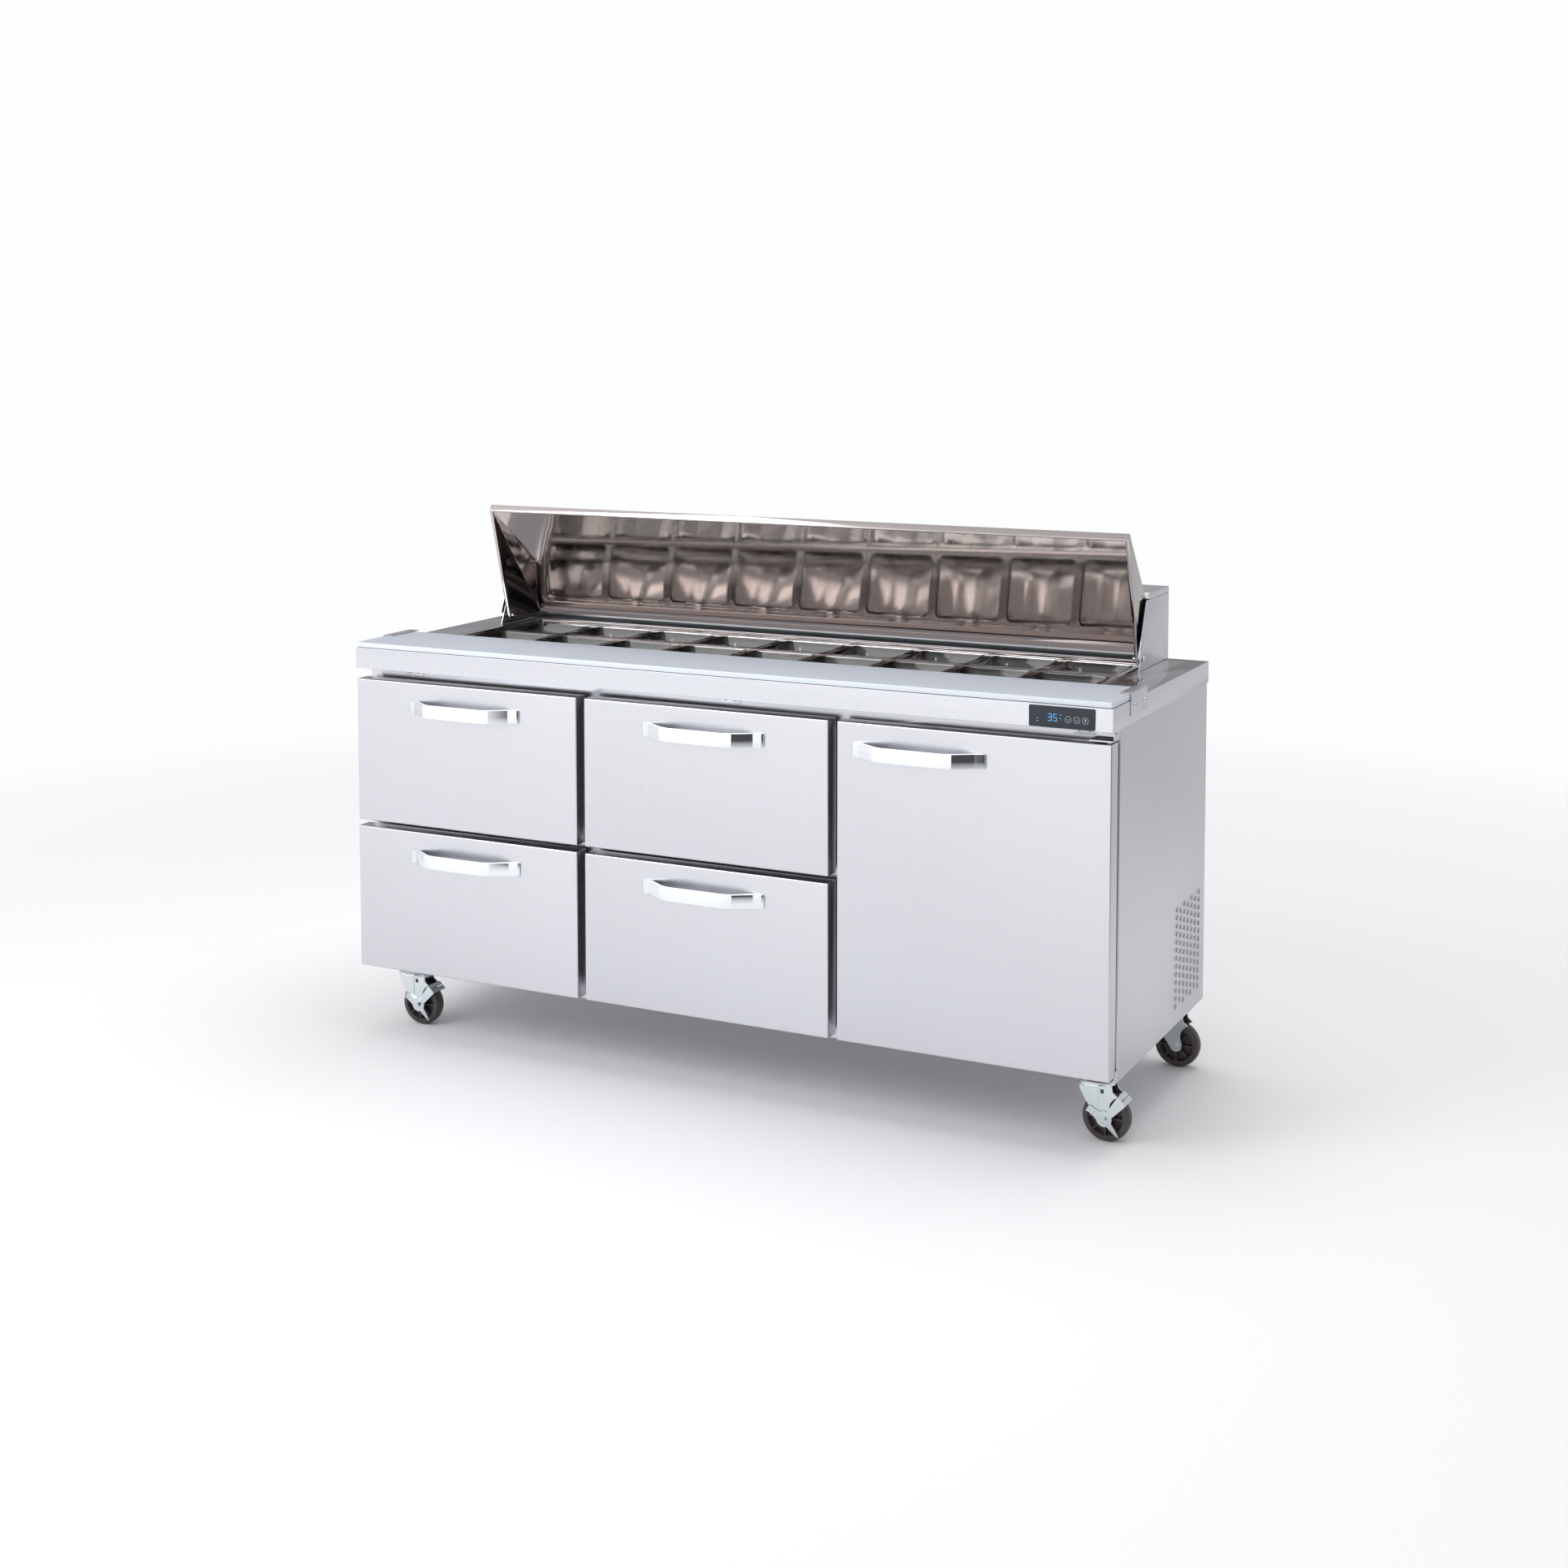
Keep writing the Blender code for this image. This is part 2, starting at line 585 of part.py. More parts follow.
def build_drawers(materials, tub_steel):
    """Four drawers, each a front with an open tub behind it, and a rack in each column."""
    middle = (FRONT_TOP + FRONT_BOTTOM) / 2
    levels = {"upper": (middle + DRAWER_GAP / 2, FRONT_TOP, 0.550, 0.712),
              "lower": (FRONT_BOTTOM, middle - DRAWER_GAP / 2, 0.222, 0.392)}
    half = 0.228
    lip = 0.012
    tub_front = FRONT_THICKNESS + CLEARANCE
    tub_rear = 0.575
    for column in ("left", "middle"):
        centre = COLUMNS[column]
        for level, (low, high, floor, rim) in levels.items():
            name = column + "_" + level + "_drawer"
            origin = (centre, FRONT_Y, (low + high) / 2)
            slide = joint_frame(name + "_slide", origin)
            build_front(name, name + "_front", column, low, high, centre, materials, slide, origin)

            def span(grow, grow_y, z):
                return (centre - half - grow, centre + half + grow,
                        depth(tub_front - min(grow_y, 0)), depth(tub_rear + grow_y), z, 0)

            bm = bmesh.new()
            add_tray(bm, [span(-SHEET, -SHEET, floor + SHEET), span(-SHEET, -SHEET, rim),
                          span(lip, 0, rim), span(lip, 0, rim - SHEET),
                          span(0, 0, rim - SHEET), span(0, 0, floor)])
            make_object(name + "_tub", bm, tub_steel, origin, slide)
        build_rack(column, centre, half + lip, levels, tub_steel)


def build_rack(column, centre, tub_reach, levels, steel):
    """The fixed frame in one column: two side plates with ledges that carry the drawers' lips."""
    near = 0.105
    far = 0.600
    plate_in = tub_reach + 0.003
    plate_out = plate_in + SHEET
    low = CABINET_BOTTOM + WALL + CLEARANCE
    high = 0.725
    bm = bmesh.new()
    add_box(bm, (centre - plate_out, depth(far), low), (centre + plate_out, depth(far + SHEET), low + 0.05))
    rack = make_object("drawer_rack_" + column, bm, steel)
    for sign in (-1, 1):
        outline = [(plate_in, low), (plate_out, low), (plate_out, high), (plate_in, high)]
        for _, _, _, rim in sorted(levels.values(), key=lambda item: -item[3]):
            ledge = rim - SHEET - CLEARANCE
            outline += [(plate_in, ledge), (tub_reach - 0.009, ledge),
                        (tub_reach - 0.009, ledge - SHEET), (plate_in, ledge - SHEET)]
        section = [(centre + sign * x, z) for x, z in outline]
        combine(rack, lambda bm: add_prism(bm, section, 1, depth(near), depth(far + 0.001)), "UNION")


def build_door(materials, shelf_steel, pin_steel):
    """The door on its two pin brackets, and the shelf behind it."""
    centre = COLUMNS["right"]
    hinge_place = (HINGE_X, depth(HINGE_DEPTH), FRONT_BOTTOM)
    hinge = joint_frame("door_hinge", hinge_place)
    handle_x = centre - FRONT_WIDTH / 2 + DOOR_HANDLE_INSET + HANDLE_LENGTH / 2
    door = build_front("door", "door_panel", "right", FRONT_BOTTOM, FRONT_TOP, handle_x, materials,
                       hinge, hinge_place)

    plate = 0.003
    gap = 0.004
    pin = 0.0040
    pin_depth = 0.010
    back = CABINET_FACE - CLEARANCE
    for name, edge, away, flange in (("top", FRONT_TOP, 1, 0.018), ("bottom", FRONT_BOTTOM, -1, 0.006)):
        near = edge + away * gap
        far = near + away * plate
        section = [(0.006, near), (back, near), (back, far + away * flange),
                   (back - plate, far + away * flange), (back - plate, far), (0.006, far)]
        bm = bmesh.new()
        add_prism(bm, [(depth(y), z) for y, z in section], 0, HINGE_X - 0.038, HINGE_X + 0.011)
        bracket = make_object("door_hinge_" + name, bm, pin_steel)
        inside = edge - away * pin_depth

        def add_pin(bm, radius, end):
            low, high = sorted((inside - away * (radius - pin), end))
            add_turned(bm, [(0, low), (radius, low), (radius, high), (0, high)],
                       (HINGE_X, depth(HINGE_DEPTH), 0), (0, 0, 1), 12)

        combine(bracket, lambda bm: add_pin(bm, pin, near + away * plate / 2), "UNION")
        combine(door, lambda bm: add_pin(bm, pin + 0.0005, edge + away * 0.01), "DIFFERENCE")

    bm = bmesh.new()
    lines_x = slot_lines(0.352, 0.868, 9, 0.008)
    lines_y = [depth(value) for value in slot_lines(0.112, 0.520, 2, 0.008)]
    add_slotted_plate(bm, lines_x, lines_y, (0.530, 0.535), 2)
    make_object("door_shelf", bm, shelf_steel)


# ---------------------------------------------------------------- refrigeration
def build_refrigeration(aluminium, dark_paint, galvanised, fan_plastic):
    """The machine compartment's compressor, condenser, fan and grille, and the cold coil in the chamber."""
    middle_y = depth((MACHINE_FACE + CABINET_REAR) / 2)
    floor = CABINET_BOTTOM + SHEET + CLEARANCE
    bm = bmesh.new()
    add_turned(bm, [(0, floor), (0.085, floor), (0.085, floor + 0.004), (0.070, floor + 0.012),
                    (0.078, floor + 0.030), (0.078, floor + 0.105), (0.070, floor + 0.135),
                    (0.045, floor + 0.158), (0, floor + 0.165)], (0.490, middle_y, 0), (0, 0, 1), 16)
    make_object("compressor", bm, dark_paint, smooth=True)

    bm = bmesh.new()
    add_box(bm, (0.840, middle_y - 0.092, floor), (0.895, middle_y + 0.092, floor + 0.225))
    make_object("condenser", bm, aluminium, bevel=0.002)

    bm = bmesh.new()
    lines_x = slot_lines(MACHINE_LEFT + 0.001, CABINET_SIDE - SHEET - 0.001, 10, 0.014)
    lines_z = slot_lines(CABINET_BOTTOM + SHEET + 0.001, MACHINE_TOP - 0.001, 2, 0.022)
    add_slotted_plate(bm, lines_x, lines_z, (depth(CABINET_REAR - 0.004), depth(CABINET_REAR - 0.002)), 1)
    make_object("rear_grille", bm, galvanised)

    evaporator_front = depth(0.552)
    bm = bmesh.new()
    add_box(bm, (0.400, evaporator_front, 0.560), (0.840, depth(CABINET_REAR - WALL - CLEARANCE), 0.700))
    make_object("evaporator", bm, aluminium, bevel=0.002)

    fans = (("condenser_fan", (0.800, middle_y, floor + 0.112), (1, 0, 0), 0.085),
            ("evaporator_fan", (0.620, evaporator_front - 0.014, 0.630), (0, -1, 0), 0.060))
    for name, place, axis, radius in fans:
        hub = radius * 0.28
        half = 0.008
        frame = Vector((0, 0, 1)).rotation_difference(Vector(axis)).to_matrix()
        bm = bmesh.new()
        add_turned(bm, [(0, -half), (hub, -half), (hub, half), (0, half)], place, axis, 16)
        fan = make_object(name, bm, fan_plastic, smooth=True)
        for blade in range(5):
            turn = Matrix.Rotation(2 * math.pi * blade / 5, 3, "Z")
            pitch = Matrix.Rotation(math.radians(28), 3, "X")

            def add_blade(bm):
                outline = [(hub * 0.6, -0.012), (radius * 0.7, -0.026), (radius, -0.016),
                           (radius, 0.016), (radius * 0.7, 0.022), (hub * 0.6, 0.010)]
                add_prism(bm, outline, 2, -0.0008, 0.0008)
                for vertex in bm.verts:
                    vertex.co = Vector(place) + frame @ (turn @ (pitch @ vertex.co))

            combine(fan, add_blade, "UNION")
        fan.data.transform(Matrix.Translation(-Vector(place)))
        fan.location = place


# ---------------------------------------------------------------- casters
def build_caster(name, x, y, materials, braked):
    """A swivel caster: top plate and raceway, fork with its axle bolt, wheel, and a brake lever."""
    zinc, tyre = materials
    axle = (x + CASTER_TRAIL, y, WHEEL_RADIUS)
    plate_top = CABINET_BOTTOM - CLEARANCE
    race_foot = plate_top - 0.016
    bm = bmesh.new()
    add_box(bm, (x - 0.045, y - 0.040, plate_top - 0.003), (x + 0.045, y + 0.040, plate_top))
    plate = make_object(name + "_plate", bm, zinc)
    combine(plate, lambda bm: add_turned(bm, [(0, plate_top - 0.001), (0.030, plate_top - 0.001),
                                              (0.039, plate_top - 0.008), (0.039, race_foot),
                                              (0, race_foot)], (x, y, 0), (0, 0, 1), 16), "UNION")

    swivel = joint_frame(name + "_swivel", (x, y, race_foot))
    origin = (x, y, race_foot)
    fork_top = race_foot - CLEARANCE
    bridge = fork_top - 0.012
    inner = WHEEL_WIDTH / 2 + 0.0025
    leg = 0.003
    bm = bmesh.new()
    add_turned(bm, [(0, fork_top), (0.036, fork_top), (0.040, fork_top - 0.005), (0.040, bridge),
                    (0, bridge)], (x, y, 0), (0, 0, 1), 16)
    fork = make_object(name + "_fork", bm, zinc)
    rounding = [(axle[0] + 0.013 * math.cos(math.radians(a)), axle[2] + 0.013 * math.sin(math.radians(a)))
                for a in range(-150, 11, 32)]
    outline = [(x - 0.030, bridge + 0.002), (x - 0.030, bridge - 0.012)] + rounding
    outline += [(x + 0.038, bridge - 0.016), (x + 0.038, bridge + 0.002)]
    for sign in (-1, 1):
        near = y + sign * inner
        far = y + sign * (inner + leg)
        combine(fork, lambda bm: add_prism(bm, outline, 1, min(near, far), max(near, far)), "UNION")
    reach = inner + leg + 0.004
    combine(fork, lambda bm: add_turned(bm, [(0, -reach), (AXLE_RADIUS, -reach), (AXLE_RADIUS, reach),
                                             (0, reach)], axle, (0, 1, 0), 12), "UNION")
    fork.data.transform(Matrix.Translation(-Vector(origin)))
    fork.parent = swivel

    half = WHEEL_WIDTH / 2
    bore = AXLE_RADIUS + 0.0005
    bm = bmesh.new()
    profile = [(bore, -half), (0.013, -half), (0.013, -half + 0.005), (0.037, -half + 0.005),
               (0.037, -half), (0.045, -half), (WHEEL_RADIUS, -half + 0.007)]
    profile += [(radius, -along) for radius, along in reversed(profile)]
    add_turned(bm, profile, axle, (0, 1, 0), 24)
    wheel = make_object(name + "_wheel", bm, tyre, origin=axle, smooth=True)
    wheel.parent = swivel
    wheel.location = Vector(axle) - Vector(origin)

    if braked:
        near = y - inner - leg - 0.0006
        far = near - 0.003
        tip = math.radians(-48)
        pedal = math.radians(148)
        lever = []
        for angle, radius in ((-20, 0.016), (10, 0.017), (50, 0.015), (90, 0.015), (125, 0.017)):
            turn = math.radians(angle)
            lever.append((radius * math.cos(turn), radius * math.sin(turn)))
        lever += [(0.040 * math.cos(pedal - 0.12), 0.040 * math.sin(pedal - 0.12)),
                  (0.042 * math.cos(pedal + 0.22), 0.042 * math.sin(pedal + 0.22))]
        for angle in (185, 215, 250, 285):
            turn = math.radians(angle)
            lever.append((0.016 * math.cos(turn), 0.016 * math.sin(turn)))
        lever += [(0.046 * math.cos(tip - 0.06), 0.046 * math.sin(tip - 0.06)),
                  (0.046 * math.cos(tip + 0.06), 0.046 * math.sin(tip + 0.06))]
        bm = bmesh.new()
        add_prism(bm, [(axle[0] + a, axle[2] + b) for a, b in lever], 1, far, near)
        brake = make_object(name + "_brake_lever", bm, zinc)
        combine(brake, lambda bm: add_turned(bm, [(0, -0.06), (AXLE_RADIUS + 0.0005, -0.06),
                                                  (AXLE_RADIUS + 0.0005, 0.06), (0, 0.06)],
                                             axle, (0, 1, 0), 16), "DIFFERENCE")
        brake.data.transform(Matrix.Translation(-Vector(axle)))
        brake.parent = swivel
        brake.location = Vector(axle) - Vector(origin)


# ---------------------------------------------------------------- the whole table
def main():
    clear_scene()
    steel = make_material("stainless_steel", (0.62, 0.63, 0.65), 0.32, 1.0)
    liner_steel = make_material("polished_steel", (0.60, 0.60, 0.61), 0.22, 1.0)
    galvanised = make_material("galvanised_steel", (0.52, 0.54, 0.56), 0.45, 1.0)
    chrome = make_material("chrome", (0.80, 0.81, 0.83), 0.06, 1.0)
    zinc = make_material("zinc_plate", (0.66, 0.72, 0.76), 0.25, 1.0)
    board_plastic = make_material("board_plastic", (0.78, 0.80, 0.84), 0.45)
    display_gloss = make_material("display_gloss", (0.015, 0.018, 0.030), 0.12)
    clear_plastic = make_material("clear_plastic", (0.85, 0.87, 0.88), 0.08, 0.0, 0.3)
    rubber = make_material("gasket_rubber", (0.05, 0.05, 0.055), 0.7)
    tyre = make_material("wheel_plastic", (0.035, 0.028, 0.028), 0.5)
    aluminium = make_material("fin_aluminium", (0.70, 0.71, 0.72), 0.35, 1.0)
    dark_paint = make_material("compressor_paint", (0.02, 0.02, 0.022), 0.4)
    fan_plastic = make_material("fan_plastic", (0.08, 0.08, 0.09), 0.5)

    build_cabinet(steel)
    build_worktop(steel)
    build_pan_rail(liner_steel, clear_plastic)
    build_hood(steel)
    build_lid(liner_steel, zinc)
    build_board(board_plastic, steel)
    build_display(display_gloss)
    front_materials = (steel, chrome, rubber)
    build_drawers(front_materials, liner_steel)
    build_door(front_materials, chrome, zinc)
    build_refrigeration(aluminium, dark_paint, galvanised, fan_plastic)
    for end, x in (("left", -CASTER_X), ("right", CASTER_X)):
        build_caster("front_" + end + "_caster", x, depth(CASTER_FRONT), (zinc, tyre), True)
        build_caster("rear_" + end + "_caster", x, depth(CASTER_REAR), (zinc, tyre), False)


main()
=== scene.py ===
"""Finished surfaces of a refrigerated sandwich prep table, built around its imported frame.

The file is laid out as an add-on: property groups hold the sizes and colours to change, one
operator makes each piece or group of like pieces, and a panel lists them. Units are metres, +Z is
up, the front faces -Y and the origin is on the floor under the middle of the table.
"""
import json
import math

import bmesh
import bpy
from mathutils import Matrix, Vector

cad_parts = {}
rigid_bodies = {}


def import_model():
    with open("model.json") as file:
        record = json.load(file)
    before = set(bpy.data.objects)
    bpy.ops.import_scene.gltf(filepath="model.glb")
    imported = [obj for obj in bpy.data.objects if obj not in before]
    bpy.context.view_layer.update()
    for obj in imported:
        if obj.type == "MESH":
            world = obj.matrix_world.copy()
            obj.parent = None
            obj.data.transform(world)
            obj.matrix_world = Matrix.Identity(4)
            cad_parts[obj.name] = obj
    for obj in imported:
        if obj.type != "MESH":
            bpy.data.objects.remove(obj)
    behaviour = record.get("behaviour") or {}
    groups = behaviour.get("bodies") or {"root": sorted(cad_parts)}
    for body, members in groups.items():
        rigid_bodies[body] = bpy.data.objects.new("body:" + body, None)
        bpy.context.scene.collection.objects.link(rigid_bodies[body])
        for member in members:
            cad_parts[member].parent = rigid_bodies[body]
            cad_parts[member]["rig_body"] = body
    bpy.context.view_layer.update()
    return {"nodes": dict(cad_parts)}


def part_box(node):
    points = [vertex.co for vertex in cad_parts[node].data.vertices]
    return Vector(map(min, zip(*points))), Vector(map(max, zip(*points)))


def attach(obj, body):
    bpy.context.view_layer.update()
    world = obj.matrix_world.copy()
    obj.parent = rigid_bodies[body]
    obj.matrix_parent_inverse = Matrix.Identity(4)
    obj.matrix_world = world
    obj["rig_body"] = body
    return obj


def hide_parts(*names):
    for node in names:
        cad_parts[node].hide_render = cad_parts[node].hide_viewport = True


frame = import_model()

bl_info = {
    "name": "Sandwich prep table",
    "version": (1, 0, 0),
    "blender": (4, 5, 0),
    "location": "View3D > Sidebar > Prep table",
    "description": "Makes the finished pieces of a sandwich prep table around its frame",
    "category": "Object",
}

SHEET = 0.002                           # the folded sheet metal
TOUCH = 0.0004                          # the gap between pieces that touch
SMALL_SCREW = 0.0042                    # radius of the head of a screw that fixes a plate
PANS_IN_ROW = 9
FRONT_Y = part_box("worktop")[0].y        # the worktop's front face
LEVELS = ("upper", "lower")
DRAWERS = [f"{column}_{level}_drawer" for column in ("left", "middle") for level in LEVELS]
CASTERS = [f"{end}_{side}_caster" for end in ("front", "rear") for side in ("left", "right")]


def depth(value):
    """A depth behind the worktop's front face, as a world Y."""
    return FRONT_Y + value


# ------------------------------------------------------------------ what a user would change
def colour_property(name, description, default):
    return bpy.props.FloatVectorProperty(name=name, description=description, default=default,
                                         subtype="COLOR", min=0.0, max=1.0)


def length_property(name, description, default):
    return bpy.props.FloatProperty(name=name, description=description, default=default,
                                   subtype="DISTANCE", unit="LENGTH", min=0.0, precision=4)


def share_property(name, description, default):
    return bpy.props.FloatProperty(name=name, description=description, default=default,
                                   subtype="FACTOR", min=0.0, max=1.0)


class PrepTableFinish(bpy.types.PropertyGroup):
    brushed: colour_property("Brushed steel", "Outer panels and fronts", (0.625, 0.63, 0.665))
    brushed_roughness: share_property("Brushing", "Roughness of the outer panels", 0.30)
    polished: colour_property("Polished steel", "Lid, well and drawer liners", (0.54, 0.495, 0.48))
    polished_roughness: share_property("Polish", "Roughness of the polished sheet", 0.07)
    chrome: colour_property("Chrome", "Handles and the wire shelf", (0.84, 0.86, 0.89))
    zinc: colour_property("Zinc plate", "Casters, brackets and screws", (0.66, 0.75, 0.81))
    # board is the top's colour: a darker grey than the white board_side, as painted shade on the top.
    board: colour_property("Board", "Worn top of the cutting board", (0.42, 0.45, 0.505))
    board_side: colour_property("Board edge", "Sawn edges of the cutting board", (0.74, 0.79, 0.86))
    clear: colour_property("Clear plastic", "Food pans", (0.93, 0.95, 0.95))
    wheel: colour_property("Wheel", "Moulded wheels", (0.030, 0.023, 0.024))
    gasket: colour_property("Gasket", "Door and drawer seals", (0.040, 0.040, 0.044))
    glass: colour_property("Display glass", "Control panel lens", (0.010, 0.013, 0.022))
    digits: colour_property("Digits", "Lit temperature digits", (0.10, 0.42, 0.85))


class PrepTableSizes(bpy.types.PropertyGroup):
    front_edge: length_property("Front edge", "Rounding of the folded front panels", 0.0030)
    sheet_edge: length_property("Sheet edge", "Rounding of folded sheet edges", 0.0012)
    board_edge: length_property("Board edge", "Rounding of the cutting board", 0.0030)
    handle_edge: length_property("Handle edge", "Rounding along the handles", 0.0013)
    screw_head: length_property("Screw head", "Radius of a pan head", 0.0042)
    vent_pitch: length_property("Vent pitch", "From one pressed vent to the next in a column", 0.0180)
    wire: length_property("Shelf wire", "Radius of a shelf wire", 0.0016)
    pan_wall: length_property("Pan wall", "Thickness of a food pan", 0.0025)


class PrepTableStage(bpy.types.PropertyGroup):
    floor: colour_property("Floor", "Plain floor", (0.90, 0.90, 0.91))
    floor_radius: length_property("Floor radius", "The floor has faded out by here", 4.6)
    lens: bpy.props.FloatProperty(name="Lens", description="Focal length", default=50.97,
                                  subtype="DISTANCE_CAMERA", unit="CAMERA")
    camera_place: bpy.props.FloatVectorProperty(name="Camera", description="Where the camera stands",
                                                default=(2.2695, -4.4914, 1.695),
                                                subtype="XYZ", unit="LENGTH")
    camera_turn: bpy.props.FloatProperty(name="Turn", description="Camera heading, from straight ahead",
                                         default=0.4613, subtype="ANGLE", unit="ROTATION")
    camera_tilt: bpy.props.FloatProperty(name="Tilt", description="How far the camera looks down",
                                         default=0.0697, subtype="ANGLE", unit="ROTATION")
    camera_rise: bpy.props.FloatProperty(name="Rise", description="Vertical lens shift, in sensor widths",
                                         default=-0.20)


# ------------------------------------------------------------------ shader maths
class Wire:
    """A value in a node tree. Arithmetic on it adds the Math nodes that work it out."""

    def __init__(self, nodes, socket):
        self.nodes = nodes
        self.socket = socket

    def maths(self, operation, *values):
        return self.nodes.add("ShaderNodeMath", {"operation": operation}, dict(enumerate(values)))

    def __add__(self, other):
        return self.maths("ADD", self, other)

    def __mul__(self, other):
        return self.maths("MULTIPLY", self, other)

    def __sub__(self, other):
        return self.maths("SUBTRACT", self, other)

    def __rsub__(self, other):
        return self.maths("SUBTRACT", other, self)

    def __truediv__(self, other):
        return self.maths("DIVIDE", self, other)

    def __gt__(self, other):
        return self.maths("GREATER_THAN", self, other)

    def __lt__(self, other):
        return self.maths("LESS_THAN", self, other)

    def __abs__(self):
        return self.maths("ABSOLUTE", self)

    __radd__ = __add__
    __rmul__ = __mul__


class Nodes:
    """A node tree, for a material, the world or a geometry, with one method that adds a node."""

    def __init__(self, tree):
        self.tree = tree

    def add(self, kind, settings=None, values=None, output=0):
        """Add a node: its settings first, then the values or links of its sockets."""
        node = self.tree.nodes.new(kind)
        for name, setting in (settings or {}).items():
            if name == "stops":
                self.set_stops(node.color_ramp, setting)
            else:
                setattr(node, name, setting)
        for name, value in (values or {}).items():
            self.feed(node.inputs[name], value)
        return Wire(self, node.outputs[output]) if len(node.outputs) else node

    def feed(self, socket, value):
        if isinstance(value, Wire):
            self.tree.links.new(value.socket, socket)
        else:
            socket.default_value = value

    @staticmethod
    def set_stops(ramp, stops):
        """The stops of a ramp, as (position, grey) pairs."""
        while len(ramp.elements) < len(stops):
            ramp.elements.new(1.0)
        for element, (position, grey) in zip(ramp.elements, stops):
            element.position = position
            element.color = (grey, grey, grey, 1.0)

    # the few nodes that many finishes use
    def object_place(self):
        return self.add("ShaderNodeTexCoord", output="Object")

    def stretched(self, place, scale):
        return self.add("ShaderNodeVectorMath", {"operation": "MULTIPLY"}, {0: place, 1: scale})

    def noise(self, place, scale, detail=2.0, roughness=0.5):
        return self.add("ShaderNodeTexNoise", None, {"Vector": place, "Scale": scale, "Detail": detail,
                                                     "Roughness": roughness})

    def tint(self, factor, first, second):
        """A colour between two fixed colours."""
        return self.blend(factor, (*first, 1.0), (*second, 1.0))

    def blend(self, factor, first, second):
        """A colour between two colours, fixed or linked."""
        colours = {"Factor": factor, "A": first, "B": second}
        node = self.tree.nodes.new("ShaderNodeMix")
        node.data_type = "RGBA"
        for socket in node.inputs:
            if socket.enabled and socket.name in colours:
                self.feed(socket, colours[socket.name])
        return Wire(self, next(s for s in node.outputs if s.enabled))

    def bump(self, height, distance, strength=1.0):
        return self.add("ShaderNodeBump", None,
                        {"Height": height, "Distance": distance, "Strength": strength})


class Finish(Nodes):
    """A material whose surface is one Principled shader."""

    def __init__(self, name):
        self.material = bpy.data.materials.new(name)
        self.material.use_nodes = True
        super().__init__(self.material.node_tree)
        self.shader = self.tree.nodes["Principled BSDF"]

    def surface(self, **values):
        """Sockets of the shader by name, with _ for a space."""
        for name, value in values.items():
            socket = self.shader.inputs[name.replace("_", " ").title().replace("Ior", "IOR")]
            if isinstance(value, tuple) and len(value) == 3 and socket.type == "RGBA":
                value = (*value, 1.0)
            self.feed(socket, value)
        return self.material


def shaded(colour, share):
    """A colour made lighter or darker by a share of itself."""
    return tuple(min(1.0, value * share) for value in colour)


# ------------------------------------------------------------------ finishes
def brushed_steel(finish):
    """Satin sheet: the brushing runs level on every side, and follows the length on top."""
    made = Finish("brushed_steel")
    place = made.object_place()
    facing = made.add("ShaderNodeTexCoord", output="Normal")
    facing_x = made.add("ShaderNodeSeparateXYZ", None, {0: facing}, output="X")
    on_side = abs(facing_x) > 0.7
    grain_front = made.noise(made.stretched(place, (2.5, 620.0, 620.0)), 1.0, 3.0, 0.6)
    grain_side = made.noise(made.stretched(place, (620.0, 2.5, 620.0)), 1.0, 3.0, 0.6)
    grain = grain_front * (1 - on_side) + grain_side * on_side
    cloud = made.noise(place, 2.2, 3.0)
    base = made.tint(grain * 0.5 + cloud * 0.5, shaded(finish.brushed, 0.93), shaded(finish.brushed, 1.06))
    rough = finish.brushed_roughness + (grain - 0.5) * 0.12 + (cloud - 0.5) * 0.08
    return made.surface(base_color=base, roughness=rough, metallic=1.0,
                        normal=made.bump(grain, 0.00002, 0.5))


def polished_steel(finish):
    """Bright rolled sheet, with the faint waves and smears that its reflections show."""
    made = Finish("polished_steel")
    place = made.object_place()
    waves = made.noise(place, 4.0, 1.0)
    smears = made.noise(made.stretched(place, (14.0, 60.0, 60.0)), 1.0, 4.0, 0.65)
    base = made.tint(smears, shaded(finish.polished, 0.95), shaded(finish.polished, 1.05))
    rough = finish.polished_roughness + (smears - 0.5) * 0.06
    return made.surface(base_color=base, roughness=rough, metallic=1.0,
                        normal=made.bump(waves, 0.00006, 0.1))


def worktop_steel(finish):
    """The worktop's sheet: wiped glossy on top, and satin down its folded edges. The top's colour is a darker
    copy of the steel, as painted shade, and the edges' a lighter copy, as painted light.
    """
    made = Finish("worktop_steel")
    place = made.object_place()
    facing = made.add("ShaderNodeTexCoord", output="Normal")
    on_top = abs(made.add("ShaderNodeSeparateXYZ", None, {0: facing}, output="Z")) > 0.7
    grain = made.noise(made.stretched(place, (2.5, 620.0, 620.0)), 1.0, 3.0, 0.6)
    smears = made.noise(made.stretched(place, (10.0, 40.0, 40.0)), 1.0, 4.0, 0.65)
    # Painted light and shade: the folded edges take a lighter copy of the steel, the top a darker copy.
    lit_edge_tone = made.tint(grain, shaded(finish.brushed, 1.02), shaded(finish.brushed, 1.14))
    shaded_top_tone = made.tint(smears, shaded(finish.brushed, 0.78), shaded(finish.brushed, 0.92))
    rough = (0.24 + grain * 0.08) * (1 - on_top) + (0.09 + smears * 0.08) * on_top
    return made.surface(base_color=made.blend(on_top, lit_edge_tone, shaded_top_tone), roughness=rough, metallic=1.0,
                        normal=made.bump(grain, 0.00002, 0.4))


def chrome(finish):
    made = Finish("chrome")
    place = made.object_place()
    mist = made.noise(place, 38.0, 4.0, 0.6)
    base = made.tint(mist, shaded(finish.chrome, 0.96), shaded(finish.chrome, 1.03))
    return made.surface(base_color=base, roughness=0.035 + mist * 0.04, metallic=1.0,
                        normal=made.bump(made.noise(place, 9.0, 1.0), 0.0004, 0.3))


